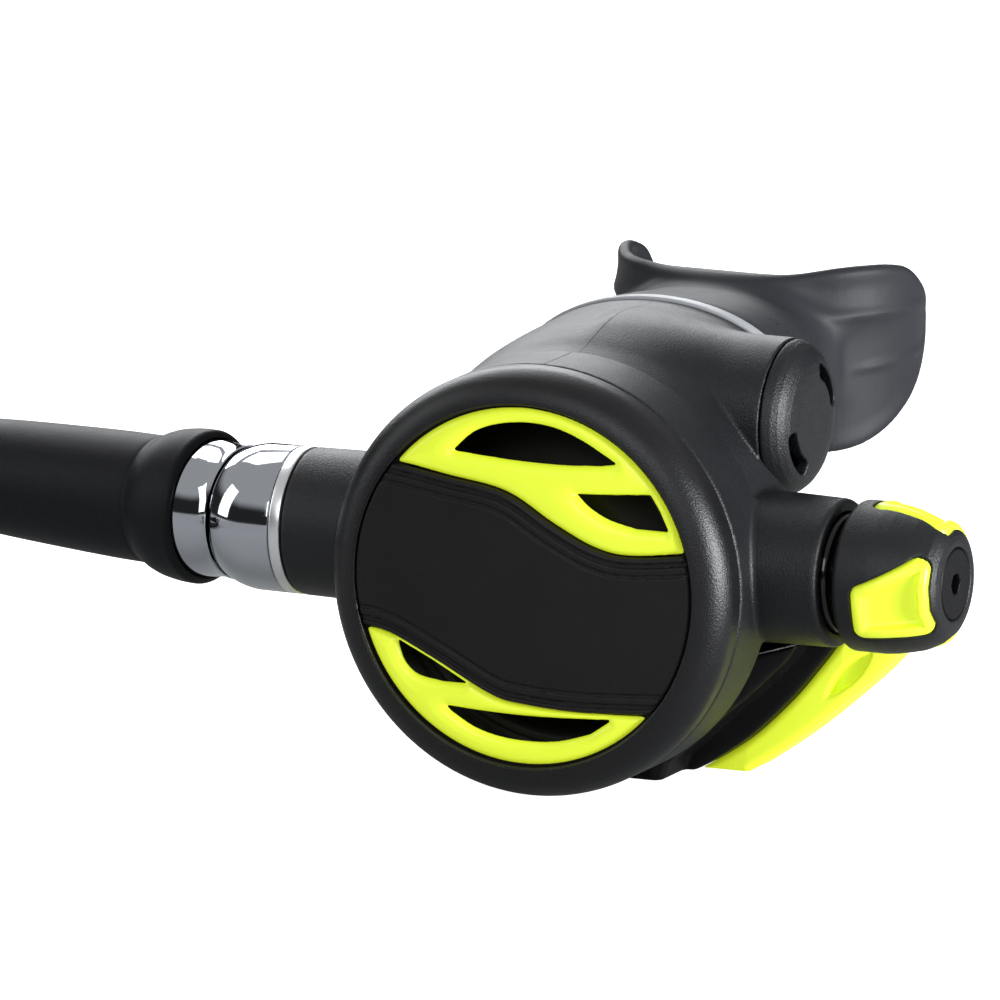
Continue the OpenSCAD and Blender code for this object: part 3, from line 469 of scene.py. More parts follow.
def hose_route():
    """The hose's centreline in metres: down from the protector, then the coil on the surface."""
    run = [[0, 37], [6, 37], [12, 37], [18, 36.7], [24, 35.6], [32, 33.3], [40, 30], [48, 26.1], [56, 21.9],
           [64, 17.6], [72, 13.7], [80, 10.4], [88, 8.1], [94, 7.1], [100, 6.75], [108, 6.75]]
    foot, length = (EXIT / MM) * [1, 1, 0], run[-1][0]
    coil_r, pitch, last = 72.5, 13, 360 * 1.505
    climb = math.degrees(92 / (coil_r - pitch * last / 360))

    def sway(a):
        """The hose drifts sideways on its way down, and meets the coil straight."""
        return 10 * (1 - math.cos(math.pi * a / length)) * HOSE_SIDE

    def spiral(a):
        """The coil at a degrees; its end climbs over the turn outside it."""
        lift = 13.95 * (1 - math.cos(math.pi * max(0.0, 1 - (last - a) / climb))) / 2
        out = math.cos(math.radians(a)) * HOSE_SIDE + math.sin(math.radians(a)) * HOSE_DIR
        return middle + (coil_r - pitch * a / 360) * out + np.array([0, 0, lift])

    points = [foot + a * HOSE_DIR + sway(a) + np.array([0, 0, z]) for a, z in run]
    middle = points[-1] + 12 * HOSE_DIR - coil_r * HOSE_SIDE
    points += [spiral(last * i / 36) for i in range(37)]
    heading = (spiral(last) - spiral(last - 0.1)) * [1, 1, 0]
    heading /= np.linalg.norm(heading)
    points += [points[-1] + 10 * heading, points[-1] + 20 * heading]
    return np.array(points) * MM


HOSE_R = 0.006
centreline = along_curve([EXIT - 2 * HOSE_R * HOSE_DIR, *hose_route()], 0.003)
hose = tube("hose", centreline, HOSE_R, HOSE)
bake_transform(hose)
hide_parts("hose_run", "hose_coil")


# ---------------------------------------------------------------- pieces
def finished(piece, body, *nodes):
    """A piece that rides on a body and stands for CAD nodes."""
    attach(piece, body)
    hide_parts(*nodes)
    return piece


def lathe(name, profile, material, centre, axis, turns=160, sharp=28):
    """A closed profile of [radius, place along the axis] turned about an axis; centre in millimetres."""
    profile = np.asarray(profile, float)
    axis = np.asarray(axis, float) / np.linalg.norm(axis)
    side = np.cross(axis, [0, 0, 1.0])
    side /= np.linalg.norm(side)
    up = np.cross(side, axis)
    n = len(profile)
    vertices, faces = [], []
    for i in range(turns):
        a = 2 * math.pi * i / turns
        vertices.append(np.asarray(centre) + profile[:, :1] * (math.cos(a) * side + math.sin(a) * up)
                        + profile[:, 1:] * axis)
        for j in range(n):
            k, m = (i + 1) % turns * n, (j + 1) % n
            faces.append([i * n + j, i * n + m, k + m, k + j])
    area = sum(p[0] * q[1] - q[0] * p[1] for p, q in zip(profile, np.roll(profile, -1, axis=0)))
    if area > 0:
        faces = [f[::-1] for f in faces]
    made = object_of(name, place(np.vstack(vertices)), faces, material)
    made.data.set_sharp_from_angle(angle=math.radians(sharp))
    return made


def arc(centre, r, a0, a1, n):
    """Points on part of a circle, from angle a0 to a1 in degrees."""
    return [[centre[0] + r * math.cos(a), centre[1] + r * math.sin(a)]
            for a in np.radians(np.linspace(a0, a1, n + 1))]


def ease(value, low, high):
    """0 below low, 1 above high and smooth between them."""
    t = np.clip((value - low) / (high - low), 0, 1)
    return t * t * (3 - 2 * t)


# The domed back: [y, half width, half height, height of its middle]
SHELL = smooth_line([[11.5, 34, 34, 0], [16, 33.9, 33.3, 1.6], [20, 33.3, 31.9, 4.1], [25, 32.2, 29, 7.9],
                     [30, 30.4, 25.2, 12.1], [35, 28.2, 21.1, 16.4], [40, 25.8, 17, 20.6],
                     [44, 24.2, 14.6, 23.1], [47, 23, 13.2, 24]], 8)


def from_tube(y, z):
    """Distance from the axis that the valve tube, the knob and the hose inlet share."""
    return np.hypot(y - TUBE_Y, z - TUBE_Z)


def at_port(x, y, z):
    """Place along the slanted axis of the exhaust port, and distance from it."""
    along = (y - PORT_Y) * PORT_AXIS[1] + (z - PORT_Z) * PORT_AXIS[2]
    return along, np.sqrt(np.maximum(x * x + (y - PORT_Y) ** 2 + (z - PORT_Z) ** 2 - along ** 2, 0))


def dome_field(x, y, z, inset=0.0):
    """The domed back of the case, from its round seam to the oval neck."""
    a, b, c = (np.interp(y, SHELL[:, 0], SHELL[:, k]) for k in (1, 2, 3))
    return oval(x, z - c, a - inset, b - inset)


def case_field(p):
    x, y, z = p.T
    seam_r, tube_r, cap_r = np.hypot(x, z), from_tube(y, z), np.hypot(y - CAP_Y, z - CAP_Z)
    along_port, port_r = at_port(x, y, z)
    body = both(dome_field(x, y, z), slab(y, 28, 17.5), 1.0)
    body = union(body, both(oval(x, z - NECK_Z, 22.4, 12.8), slab(y, 48, 7), 0.6), 1.5)
    # the boss of the flow control blends in more softly towards the top
    body = union(body, puck(cap_r, x, 12.8, 0, 29.6, 0.35), 0.4 + 5 * ease(z, 28, 36))
    body = union(body, puck(seam_r, y, SEAM_R, 0, 12, 0.5), 0.5)
    arm_r = np.interp(x, [ARM_LEFT, -20, 20, 45.8], [12, 12.5, 12.5, 12])
    body = union(body, both(tube_r - arm_r, slab(x, -1.4, 47.2), 1.0), 0.9)
    body = union(body, puck(port_r, along_port, 11.1, 0, 14.5, 0.3), 1.0)
    # hollow inside, with the walls of the tube and of the boss left standing
    keep = np.minimum(np.maximum(tube_r - 8.1, np.minimum(x + 21, 24 - x)), puck(cap_r, x, 12.8, 20, 60))
    room = cut(both(dome_field(x, y, z, 2.2), np.maximum(10 - y, y - 44.5), 1.0), keep, 0.6)
    room = union(room, both(oval(x, z - NECK_Z, 20.2, 10.6), slab(y, 50, 8)))
    room = union(room, np.maximum(seam_r - 29.6, slab(y, 6, 7)))
    body = cut(body, room)
    # seats for the ring, the valve tube, the knob and the cap, and the exhaust port
    body = cut(body, np.maximum(seam_r - 33.35, slab(y, 3.9, 4.9)), 0.3)
    body = cut(body, np.maximum(tube_r - 6.35, x - 44.4))
    body = cut(body, puck(tube_r, x, 9.8, 42, 60), 0.5)
    body = cut(body, puck(cap_r, x, 10.4, 22, 60), 0.4)
    body = cut(body, np.maximum(port_r - 9.5, -6 - along_port))
    return body


case = solid("case_shell", case_field, (-49.8, -1.2, -36.4), (47, 56.4, 41.5), 0.62, CASE)
finished(case, "case", "case")


def case_top(y):
    """Height of the case above its own middle at a distance y behind the seam."""
    z = np.linspace(20, 42, 500)
    inside = np.nonzero(case_field(np.column_stack([np.zeros(500), np.full(500, y), z])) < 0)[0]
    return z[inside[-1]] if len(inside) else 30


def strip(name, points, normals, half, rise, material):
    """A thin closed strip that stands a little proud along points in millimetres."""
    points, normals = np.asarray(points, float), np.asarray(normals, float)
    along = np.gradient(points, axis=0)
    side = np.cross(along, normals)
    side /= np.linalg.norm(side, axis=1)[:, None]
    rings = np.stack([points - side * half - normals * 0.15, points - side * half * 0.5 + normals * rise,
                      points + side * half * 0.5 + normals * rise, points + side * half - normals * 0.15], 1)
    end = 4 * (len(points) - 1)
    faces = [[i + j, i + (j + 1) % 4, i + 4 + (j + 1) % 4, i + 4 + j]
             for i in range(0, end, 4) for j in range(4)]
    faces += [[3, 2, 1, 0], [end, end + 1, end + 2, end + 3]]
    return object_of(name, place(rings.reshape(-1, 3)), faces, material)


# Raised flash of the mould's parting plane, over the seam's lip and over the dome behind it
for count, (start, end, steps) in enumerate([(0.7, 11.5, 8), (12.6, 43.9, 40)], 1):
    points = np.array([[0, y, case_top(y)] for y in np.linspace(start, end, steps)])
    tangent = np.gradient(points, axis=0)
    normals = np.column_stack([np.zeros(len(points)), -tangent[:, 2], tangent[:, 1]])
    normals /= np.linalg.norm(normals, axis=1)[:, None]
    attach(strip(f"case_flash_{count}", points, normals, 0.14, 0.04, DARK), "case")


# Retaining ring and front cover
def dome_front(x, z):
    """The cover's front face, which bulges a little."""
    return -7.7 - 1.3 * (1 - (x * x + z * z) / 29.4 ** 2)


ring = lathe("retaining_ring_turned", [
    [29.55, -6.6], [29.55, -7.3], *arc([29.85, -7.3], 0.3, 180, 262, 4), *arc([29.5, -2.4], 5.5, -86, 0, 28),
    [SEAM_R, -0.7], *arc([34.6, -0.55], 0.4, 0, 80, 4), [33.3, -0.15], [33.3, 6.4], [31.9, 6.4], [31.9, -6.6],
], RING, (0, 0, 0), (0, 1, 0), 224)
finished(ring, "case", "retaining_ring")

# The band's two edges, then the grilles beyond them and their windows
UPPER = smooth_line([[-34, 19.2], [-23, 18.2], [-13.6, 16.9], [-3, 15.2], [5.6, 10.6], [13, 7.3], [20, 6.6],
                     [34, 8.4]])
LOWER = smooth_line([[-34, -9], [-25, -9.1], [-15.4, -13], [-5.4, -17.9], [0.4, -19.1], [11.7, -19.5],
                     [34, -18.2]])
UPPER_OUT = [*UPPER.tolist(), [34, 34], [-34, 34]]
LOWER_OUT = [*LOWER[::-1].tolist(), [-34, -34], [34, -34]]
UPPER_WINDOWS = [
    [*smooth_line([[-12.2, 21.3], [-9, 24.2], [-5, 25.8], [0, 26.5], [5, 26.1], [10, 24.4], [15.6, 21.4]], 4),
     *smooth_line([[13.4, 21], [6, 20.5], [-2.5, 20.6], [-11.8, 21.2]], 4)],
    [*smooth_line([[9.4, 15.9], [14, 16.1], [21.9, 16.6]], 4), *smooth_line([[23.5, 14.2], [24.9, 11.3]], 4),
     *smooth_line([[19.6, 11.3], [15, 12.3], [11.7, 13.9], [9.8, 15.5]], 4)]]
LOWER_WINDOWS = [
    [*smooth_line([[-21.8, -11], [-16, -13.6], [-10, -16.7]], 4),
     *smooth_line([[-14, -16.7], [-18.3, -16], [-20.6, -14.2], [-21.7, -11.6]], 4)],
    [*smooth_line([[-13.1, -20.9], [-5, -21.2], [3, -21.2], [15, -20.7]], 4),
     *smooth_line([[11.7, -23], [6.4, -24.6], [1.4, -25.1], [-4, -24.8], [-8.6, -23.6], [-12.6, -21.4]], 4)]]


def grille_field(edge, windows):
    """A grille whose front swells away from the rims of its windows."""
    def field(p):
        x, y, z = p.T
        flat = both(outline(x, z, edge) + 0.08, np.hypot(x, z) - 29.33, 0.5)
        for window in windows:
            flat = cut(flat, outline(x, z, window), 0.6)
        front = dome_front(x, z) + 0.7 * np.exp(np.clip(flat, -20, 0) / 1.7)
        return both(flat, slab(y, (front - 6.05) / 2, (-6.05 - front) / 2), 1.5)
    return field


for side, edge, windows, low_z, high_z in (("upper", UPPER_OUT, UPPER_WINDOWS, 5.6, 30.2),
                                           ("lower", LOWER_OUT, LOWER_WINDOWS, -30.2, -8)):
    made = solid(f"{side}_grille_moulded", grille_field(edge, windows),
                 (-30.2, -9.8, low_z), (30.2, -5.4, high_z), 0.3, LIME)
    finished(made, "cover", f"{side}_grille")


def band_field(p):
    """The cover's middle, with two grooves along each edge and the rim that the ring holds."""
    x, y, z = p.T
    r = np.hypot(x, z)
    upper, lower = outline(x, z, UPPER_OUT), outline(x, z, LOWER_OUT)
    front = dome_front(x, z)
    flat = both(both(-upper + 0.04, -lower + 0.04, 0.3), r - 29.35, 0.5)
    body = both(flat, slab(y, (front - 6.0) / 2, (-6.0 - front) / 2), 0.7)
    for edge in (upper, lower):
        for middle, half, deep in ((1.3, 0.38, 0.42), (3.1, 0.26, 0.26)):
            body = cut(body, np.maximum(slab(edge, middle, half), y - front - deep), 0.35)
    rim = np.maximum(np.maximum(slab(r, 29.2, 2.2), slab(y, -5.4, 0.7)), -y - 6.05)
    return union(body, rim)


band = solid("cover_band_moulded", band_field, (-31.8, -9.9, -31.8), (31.8, -4.2, 31.8), 0.27, BAND)
finished(band, "cover", "cover_band")


# Side cap of the flow control
def cap_field(p):
    x, y, z = p.T
    r, a = np.hypot(y - CAP_Y, z - CAP_Z), np.arctan2(z - CAP_Z, y - CAP_Y)
    body = turned(r, x, [[0, 34.1], [5.8, 34.05], [7.6, 33.95], [9, 33.7], [10.3, 33.15], [11.3, 32.4],
                         [12.1, 31.4], [12.5, 30.5], [12.6, 30.1], [12.35, 29.75], [10.35, 29.75],
                         [10.35, 27.6], [9.2, 27.6], [9.2, 30.7], [7.4, 32.1], [0, 32.4]])
    for middle in (40, 220):
        off = np.abs((a - math.radians(middle) + math.pi) % (2 * math.pi) - math.pi)
        slot = both(slab(r, 8, 1.25), r * (off - math.radians(33)), 1.2)
        body = cut(body, np.maximum(slot, 31 - x), 0.4)
    return body - 0.02


cap = solid("vane_cap_moulded", cap_field, (27, 17.8, 10.3), (36.8, 44.2, 36.7), 0.3, CASE)
finished(cap, "case", "vane_cap")

# Adjustment knob, its grips and end plug
KNOB_X0, KNOB_X1 = 48.5, 65.3
GRIP = [[u, -v] for u, v in [*arc([1.8, -4.6], 1.8, 180, 270, 6), *arc([11.4, -3.8], 2, -90, 0, 6),
                             [12.8, -1.2], [12.8, 2.6],
                             *arc([11.3, 5.4], 2, 0, 113, 8), *arc([2, 1.4], 2, 113, 180, 5)]]
GRIP_ANGLES = (192, 312, 72)
BARREL = [[12.2, KNOB_X0 + 6], [12, KNOB_X0 + 8], [11.6, KNOB_X0 + 10], [11.15, KNOB_X0 + 12],
          [10.6, KNOB_X1 - 3.4], [9.7, KNOB_X1 - 1.6], [8.9, KNOB_X1 - 0.8], [7.9, KNOB_X1 - 0.25],
          [6.9, KNOB_X1], [0, KNOB_X1]]


def on_face(p, angle):
    """Points on one face of the knob: along it, out of it and across it."""
    q = p - np.array([KNOB_X0 + 3.4, TUBE_Y, TUBE_Z])
    a, b = math.radians(angle), math.radians(16)
    y = q[:, 1] * math.cos(a) + q[:, 2] * math.sin(a) - 11.9
    z = q[:, 2] * math.cos(a) - q[:, 1] * math.sin(a)
    return q[:, 0] * math.cos(b) - y * math.sin(b), q[:, 0] * math.sin(b) + y * math.cos(b), z


def grips_field(p):
    """Three pads that sit in the knob's faces, each with a dished middle."""
    r = from_tube(p[:, 1], p[:, 2])
    barrel = turned(r, p[:, 0], [[0, KNOB_X0 + 0.8], [12.2, KNOB_X0 + 0.8], *BARREL]) - 0.15
    body = np.full(len(p), 1e3)
    for angle in GRIP_ANGLES:
        along, out, across = on_face(p, angle)
        edge = outline(along, across, GRIP)
        pad = both(both(edge + 0.1, -out - 1.85), barrel, 0.8)
        body = np.minimum(body, cut(pad, both(edge + 2.0, -out - 0.9, 1.2), 0.9))
    return cut(body, np.maximum(r - 6.15, 59 - p[:, 0]))


def knob_field(p):
    r, x = from_tube(p[:, 1], p[:, 2]), p[:, 0]
    body = turned(r, x, [[0, KNOB_X0 + 0.8], [10.2, KNOB_X0 + 0.8], [10.2, KNOB_X0],
                         *arc([11.2, KNOB_X0 + 1], 1, -90, 0, 4), *BARREL])
    for angle in GRIP_ANGLES:
        along, out, across = on_face(p, angle)
        body = cut(body, np.maximum(outline(along, across, GRIP), -out - 1.9), 0.5)
    body = cut(body, np.maximum(r - 5.9, KNOB_X1 - 4 - x), 0.4)
    return cut(body, r - 3.45)


finished(solid("knob_body", knob_field, (47.9, 3.6, -10.9), (65.8, 29.4, 14.9), 0.32, CASE),
         "knob", "adjustment_knob")
finished(solid("knob_grips_moulded", grips_field, (46.5, 3, -11.5), (66, 30, 15.5), 0.28, LIME),
         "knob", "knob_grips")


def plug_field(p):
    r, x = from_tube(p[:, 1], p[:, 2]), p[:, 0]
    body = puck(r, x, 5.8, KNOB_X1 - 4, KNOB_X1 - 0.05, 0.35)
    hexagon, half_width = np.full(len(p), -1e3), 1.55
    for a in np.radians([30, 90, 150]):
        across = (p[:, 1] - TUBE_Y) * math.cos(a) + (p[:, 2] - TUBE_Z) * math.sin(a)
        hexagon = np.maximum(hexagon, np.abs(across) - half_width)
    return cut(body, np.maximum(hexagon, KNOB_X1 - 2.5 - x), 0.25)


finished(solid("knob_plug", plug_field, (60.9, 10.2, -4.4), (65.9, 22.8, 8.4), 0.2, DARK),
         "knob", "knob_end_plug")

# Mouthpiece. The neck is [y, half width, half height, height of its middle], and the lip shield, right half
# first, is [x, y, top, bottom] along its bend
NECK = smooth_line([[43, 23.7, 14.1, 23.2], [49, 23.7, 14.1, 23.2], [56, 23.2, 13.6, 23.4],
                    [62, 21, 12.6, 23.8], [68, 19, 12, 24], [74, 18.4, 11.8, 24]], 6)
SHIELD = [[0, 71, 37.2, 11], [5, 71.3, 37.3, 10.4], [10, 72.4, 37.7, 9.2], [14, 74.3, 38.3, 8.4],
          [18, 77, 38.9, 8.4], [21.3, 80.8, 39, 9.5], [23.6, 85.3, 38.6, 12], [24.7, 90, 37.2, 15.5],
          [24.4, 94.5, 33.4, 19.5], [23.3, 98.64, 28.4, 24.5]]
SHIELD_LEFT = [[-23.3, 98.64, 30, 24.5], [-23.9, 97, 33.4, 22], [-24.4, 94.5, 36, 19.5],
               [-24.7, 90, 37.7, 15.5], [-23.6, 85.3, 38.1, 12], [-21.3, 80.8, 37.7, 9.5],
               [-18, 77, 37.7, 8.4], [-14, 74.3, 37.7, 8.4], [-10, 72.4, 37.5, 9.2], [-5, 71.3, 37.3, 10.4]]
SHIELD_LINE = smooth_line(SHIELD_LEFT + SHIELD, 5)
SHIELD_REACH = np.concatenate([[0], np.cumsum(np.hypot(*np.diff(SHIELD_LINE[:, :2], axis=0).T))])
SHIELD_REACH -= SHIELD_REACH[-1] / 2
SHIELD_OUTLINE = [*zip(SHIELD_REACH, SHIELD_LINE[:, 2]), *zip(SHIELD_REACH[::-1], SHIELD_LINE[::-1, 3])]


def shield_field(x, y, z):
    """A bent sheet: nearest place along its plan line, then its outline laid flat."""
    best, reach, off = np.full(x.shape, 1e9), np.zeros(x.shape), np.zeros(x.shape)
    line = SHIELD_LINE[:, :2]
    for i in range(len(line) - 1):
        (ax, ay), (bx, by) = line[i], line[i + 1]
        ex, ey = bx - ax, by - ay
        t = np.clip(((x - ax) * ex + (y - ay) * ey) / (ex * ex + ey * ey), 0, 1)
        d = np.hypot(x - ax - t * ex, y - ay - t * ey)
        nearer = d < best
        best = np.where(nearer, d, best)
        reach = np.where(nearer, SHIELD_REACH[i] + t * math.hypot(ex, ey), reach)
        off = np.where(nearer, ((x - ax) * ey - (y - ay) * ex) / math.hypot(ex, ey), off)
    edge = outline(reach, z, SHIELD_OUTLINE)
    away = np.abs(reach)
    # a broad swell along each lobe, and two fine creases that fade at the rim
    wave = 0.5 * ease(away, 8, 20) * np.exp(-((z - 29 - 0.1 * away) / 3.0) ** 2)
    crease = 0.4 * ease(away, 4, 12) * np.exp(-((z - 37 + 6 * ease(away, 5, 20)) / 1.1) ** 2)
    crease += 0.25 * ease(away, 20, 26) * np.exp(-((z - 20.2 - 0.08 * away) / 0.8) ** 2)
    wave += crease * ease(-edge, 0.4, 3.5)
    thick = 1.25 - 0.25 * ease(-edge, 0.5, 4) + 0.15 * ease(edge, -1.5, 0)
    return both(np.abs(best * np.sign(off) - wave) - thick, edge, 1.8)


def mouthpiece_field(p):
    x, y, z = p.T
    a, b, c = (np.interp(y, NECK[:, 0], NECK[:, k]) for k in (1, 2, 3))
    neck = both(oval(x, z - c, a, b, 2.2), np.maximum(44.25 - y, y - 74), 0.8)
    lip = both(oval(x, z - NECK_Z, 24.25, 14.65), slab(y, 48.4, 1.1), 0.9)
    neck = union(neck, lip, 0.8)
    body = union(neck, shield_field(x, y, z), 5.0)
    # bite tabs, thin from the sheet on and thicker at their ends
    side = np.abs(x)
    sheet = np.interp(side, [row[0] for row in SHIELD[:7]], [row[1] for row in SHIELD[:7]]) + 0.3
    for start, end, high in ((sheet, 97, 2.6), (94, 97.2, 5.2)):
        tab = oval(side - 15.7, z - 24, 5.6, high, 3)
        body = union(body, both(tab, slab(y, (start + end) / 2, (end - start) / 2), 1.2), 1.2)
    inner_a = np.interp(y, [43, 55.1, 55.6, 64, 80], [22.45, 22.45, 19.5, 15.5, 13.4])
    inner_b = np.interp(y, [43, 55.1, 55.6, 64, 80], [12.85, 12.85, 10, 8.6, 7.4])
    inner_c = np.interp(y, [43, 55.1, 64], [23.2, 23.3, 24])
    hole = np.maximum(oval(x, z - inner_c, inner_a, inner_b, 2.3), y - 80)
    return cut(body, hole, 0.8)


mouthpiece = solid("mouthpiece_silicone", mouthpiece_field, (-27.5, 43.4, 6.5), (27.5, 100.4, 40.8), 0.6,
                   SILICONE)
finished(mouthpiece, "case", "mouthpiece")


def clamp_field(p):
    x, y, z = p.T
    return both(np.abs(oval(x, z - NECK_Z, 24.2, 14.6)) - 0.42, slab(y, 45.6, 1.25), 0.4)


finished(solid("mouthpiece_clamp_strap", clamp_field, (-25.4, 43.8, 7.6), (25.4, 47.4, 38.8), 0.3, STRAP),
         "case", "mouthpiece_clamp")

# Exhaust deflector and its coloured trims: outlines of the right half seen from the front, as [x, z]
WING_INNER = smooth_line([[16, -35], [21, -31.9], [25.8, -28.3], [31.5, -22.6], [35.6, -17.6],
                          [39.4, -12.4], [42, -7.6]])
WING_OUTER = smooth_line([[24, -35], [29.7, -31], [34.6, -27.2], [40.6, -22], [46.4, -16.6], [49.8, -12],
                          [50.4, -8.6]])
WING_TOP = [[42, -7.6], [37, -9.4], [30, -12], [20, -12.6], [10, -12], [0, -11.6]]
DUCT = [[0, -34], [13, -33], [20, -29.6], [27.6, -22.4], [33, -15.8], [36.4, -11.4], [30, -13.8],
        [20, -14.6], [10, -14], [0, -13.6]]
WING = [[0, -35], *WING_INNER.tolist(), *WING_TOP]
SKIRT = [[14.2, -36], [15.6, -31.8], [22.5, -25.3], [28, -20.2], [33, -15], [35, -12], [26, -14.6],
         [16, -15]]


def deflector_field(p):
    x, y, z = p.T
    # mirrored halves: each outline runs on past the middle to -5, so that no seam shows there
    s = np.abs(x)
    body = both(outline(s, z, [[-5, -35], *WING[1:-1], [-5, -11.6]]), slab(y, 32, 8), 1.0)
    sweep = [[-5, 24], [16, 24], [60, 31], [60, 44], [34, 40], [-5, 40]]
    body = both(body, outline(s, y, sweep), 1.0)
    skirt = both(outline(s, z, [[-5, -36], *SKIRT, [-5, -14]]),
                 outline(s, y, [[-5, 15], [13, 15], [60, 32], [60, 44], [-5, 44]]), 0.9)
    body = union(body, both(skirt, y - 28, 0.3), 0.7)
    body = both(body, -35 - z, 0.7)
    # open inside, with a mouth at the back of each wing
    duct = outline(s, z, [[-5, -34], *DUCT[1:-1], [-5, -13.6]])
    inside = outline(s, y, [[-5, 27.5], [16, 27.5], [60, 34.5], [60, 44], [-5, 44]])
    body = cut(body, np.maximum(np.maximum(duct, inside), y - 38), 0.5)
    mouth = both(duct, slab(s, 32, 11), 0.5)
    body = cut(body, np.maximum(mouth, slab(y, 39, 3)), 0.5)
    # room for the port, the dome and the ring
    along_port, port_r = at_port(x, y, z)
    body = cut(body, np.maximum(port_r - 11.2, slab(along_port, -1.4, 18.6)))
    body = cut(body, np.maximum(dome_field(x, y, z, -0.06), slab(y, 25, 25)))
    return cut(body, np.maximum(np.hypot(x, z) - (SEAM_R + 0.1), y - 13))


finished(solid("deflector_duct", deflector_field, (-43, 14, -36.2), (43, 41.2, -6.5), 0.45, DARK),
         "case", "exhaust_deflector")
TRIM = [*WING_INNER.tolist(), *WING_OUTER[::-1].tolist()]
TRIM_DEPTH = [[10, 27], [24, 27.4], [40, 29], [55, 32.5], [55, 39], [40, 39.5], [10, 39.5]]


def trim_field(side):
    """A trim on the right (side 1) or the left (-1), with a leaf-shaped recess along its middle."""
    def field(p):
        x, y, z = p[:, 0] * side - 0.15, p[:, 1], p[:, 2]
        body = both(outline(x, z, TRIM), outline(x, y, TRIM_DEPTH), 1.4)
        a, leaf_x, leaf_z, arc_r, apart = math.radians(47), 41, -17.6, 10.4, 9.2
        v = -(x - leaf_x) * math.sin(a) + (z - leaf_z) * math.cos(a)
        u = (x - leaf_x) * math.cos(a) + (z - leaf_z) * math.sin(a)
        leaf = np.maximum(np.hypot(u, v - apart) - arc_r, np.hypot(u, v + apart) - arc_r)
        return cut(body, both(leaf, slab(y, 26, 5.2), 0.4), 0.9)
    return field


for name, side, low, high in (("right", 1, 15, 51.6), ("left", -1, -51.6, -15)):
    finished(solid(f"{name}_trim_moulded", trim_field(side), (low, 26, -36), (high, 40.4, -6.6), 0.34, LIME),
             "case", f"{name}_trim")

# Turned metal of the hose inlet
TUBE_AXIS = (0, TUBE_Y, TUBE_Z)
inlet_ring = lathe("inlet_ring_turned", [
    [8.3, ARM_LEFT - 3], [9.3, ARM_LEFT - 3], [9.3, ARM_LEFT - 2], [11.6, ARM_LEFT - 2],
    *arc([11.7, ARM_LEFT - 1.7], 0.3, -70, 0, 4), *arc([11.7, ARM_LEFT - 0.3], 0.3, 0, 90, 4),
    [8.3, ARM_LEFT],
], SATIN, TUBE_AXIS, (1, 0, 0), 192)
finished(inlet_ring, "case", "inlet_ring")


def ball_edge(r, a0, a1, n):
    """Part of a circle about the ball's middle, in a profile that is turned about the tube's axis."""
    return [[r * math.cos(a), BALL_X - r * math.sin(a)] for a in np.radians(np.linspace(a0, a1, n + 1))]


sleeve = lathe("swivel_sleeve_turned", [
    [9.35, -50.7], [11.55, -50.7], *arc([11.7, -51], 0.3, 80, 0, 4), *ball_edge(12, 4, 35.7, 26),
    [7.4, BALL_X - 7], [6.6, BALL_X - 4.6], *ball_edge(8.05, 34, 0, 12), [8.05, BALL_X + 1.6],
    [9.2, BALL_X + 1.6], [9.2, BALL_X + 2.8], [9.35, BALL_X + 2.8],
], CHROME, TUBE_AXIS, (1, 0, 0), 192)
finished(sleeve, "swivel", "swivel_sleeve")
ball = lathe("swivel_ball_turned", [
    [2.5, -3.6], *arc([0, 0], 8, -26.7, 57, 24), [4.4, 6.8], [4.4, 9.6], *arc([0, 0], 12.25, 54, 28.4, 14),
    [10.98, 6.0], [10.85, 6.6], [10.75, 7.4], [10.9, 9], [11.15, 10.8], [11.3, 12.2], [11.3, 13.5], [6, 13.5],
    [6, 16], [2.5, 16],
], CHROME, BALL, HOSE_DIR, 192)
finished(ball, "hose_end", "swivel_ball")

# Hose protector: a collar with a lip, a groove behind it, then a long taper
LIP = 11
TAPER = [[12.62, LIP + 4], [12.5, LIP + 5.4], [12.15, LIP + 7.6], [11.5, LIP + 9.6], [10.75, LIP + 11],
         [10.4, LIP + 12], [10.46, LIP + 13.4], [10.32, LIP + 22], [9.6, LIP + 40], [8.6, LIP + 56],
         [7.6, LIP + 74]]
protector = lathe("hose_protector_moulded", [
    [11.35, LIP + 1.7], *arc([11.75, LIP + 1.65], 0.4, 180, 270, 4)[1:],
    *arc([11.4, LIP + 2.5], 1.25, -60, 8, 6), *smooth_line(TAPER, 5).tolist(),
    *arc([6.8, LIP + 75.5], 0.5, 20, 90, 4), [6.02, LIP + 76], [6.02, LIP + 7], [11.35, LIP + 6.8],
], RUBBER, BALL, HOSE_DIR, 160)
finished(protector, "hose_end", "hose_protector")


# ---------------------------------------------------------------- studio
def light(name, at, size, power):
    """A softbox of size metres that faces the case."""
    data = bpy.data.lights.new(name, "AREA")
    data.shape, data.size, data.size_y = "RECTANGLE", size[0], size[1]
    data.energy, data.color = power, (0.96, 0.98, 1)
    made = bpy.data.objects.new(name, data)
    made.location = at
    made.rotation_mode = "QUATERNION"
    made.rotation_quaternion = (Vector((0.03, -0.03, 0.035)) - Vector(at)).to_track_quat("-Z", "Y")
    bpy.context.scene.collection.objects.link(made)


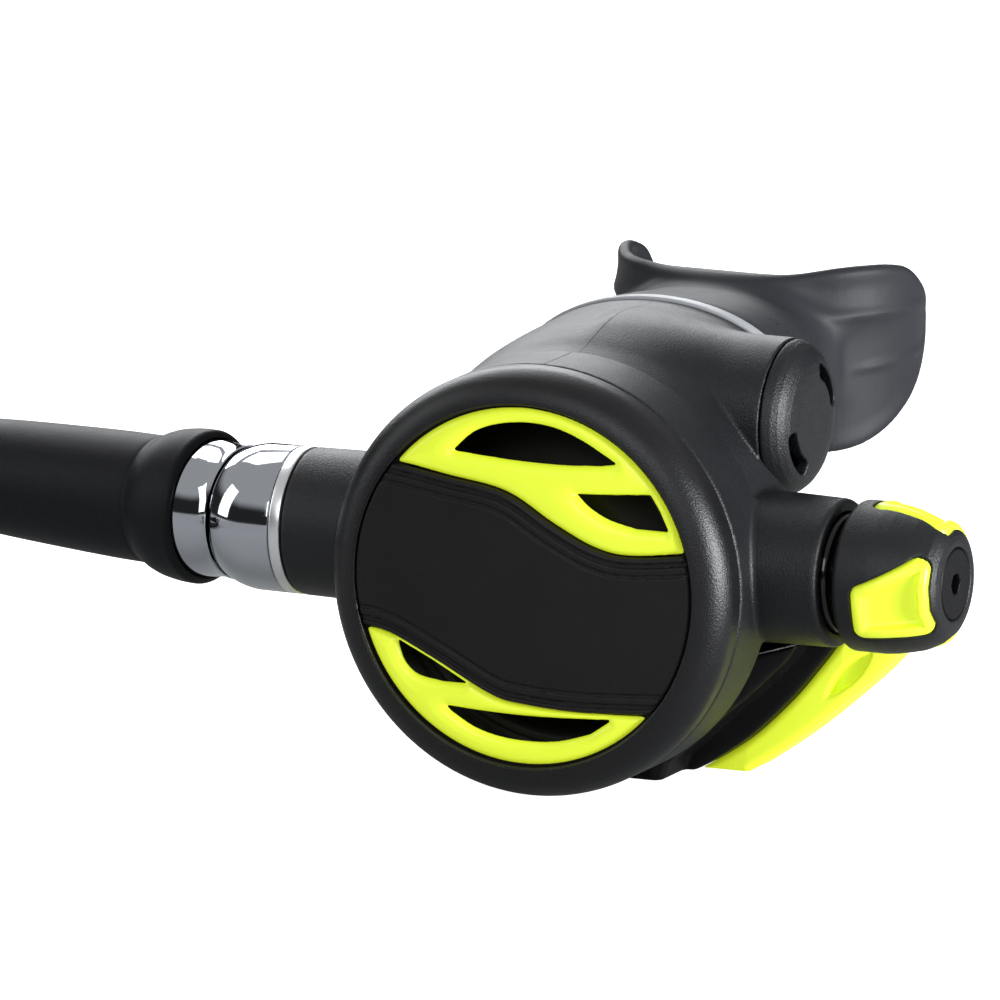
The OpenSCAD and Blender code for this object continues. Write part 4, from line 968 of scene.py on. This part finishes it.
def lit_world():
    """White to the camera; in reflections a pale ceiling over a dark horizon; a faint fill for the rest."""
    world = bpy.data.worlds.new("pale studio")
    bpy.context.scene.world = world
    g = Graph(world, empty=True)
    height = g.node("SeparateXYZ", {}, {0: g.node("TexCoord", {}, {}, "Generated")}, "Z")
    ceiling = g.node("MapRange", {"interpolation_type": "SMOOTHSTEP"},
                     {"Value": height, "From Min": 0.28, "From Max": 0.5, "To Min": 0.03, "To Max": 0.55})
    fill = g.node("Background", {}, {"Color": (1, 1, 1, 1), "Strength": 0.12})
    white = g.node("Background", {}, {"Color": (1, 1, 1, 1), "Strength": 1.0})
    room = g.node("Background", {}, {"Strength": ceiling})
    mirrored = g.node("MixShader", {}, {0: g.node("LightPath", {}, {}, "Is Glossy Ray"), 1: fill, 2: room})
    seen = g.node("LightPath", {}, {}, "Is Camera Ray")
    g.end("OutputWorld", g.node("MixShader", {}, {0: seen, 1: mirrored, 2: white}))


def white_floor():
    """A table that the camera sees as white but for the shadow on it, and greyer in reflections."""
    material = bpy.data.materials.new("white floor")
    g = Graph(material, empty=True)
    grey = g.mix(g.node("LightPath", {}, {}, "Is Glossy Ray"), (0.8, 0.8, 0.8, 1), (0.5, 0.5, 0.5, 1))
    glow = g.node("Emission", {}, {"Strength": g.node("LightPath", {}, {}, "Is Camera Ray")})
    g.end("OutputMaterial", g.node("AddShader", {}, {0: g.node("BsdfDiffuse", {}, {"Color": grey}), 1: glow}))
    mesh = bpy.data.meshes.new("floor")
    mesh.from_pydata([(-12, -12, 0), (12, -12, 0), (12, 12, 0), (-12, 12, 0)], [], [(0, 1, 2, 3)])
    mesh.materials.append(material)
    ground = bpy.data.objects.new("floor", mesh)
    bpy.context.scene.collection.objects.link(ground)


bpy.context.scene.view_settings.view_transform = "Standard"
lit_world()
light("top softbox", (-0.35, 0.35, 0.75), (0.45, 0.35), 1.5)
light("back softbox", (-0.6, 0.8, 0.5), (0.9, 0.45), 7)
light("front softbox", (0.1, -1.2, 0.55), (0.9, 0.5), 5)
light("left softbox", (-0.9, -0.5, 0.4), (0.4, 0.7), 2.5)
light("right softbox", (1.0, -0.15, 0.16), (0.5, 0.3), 20)
white_floor()

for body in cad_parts.values():
    body.data.shade_smooth()
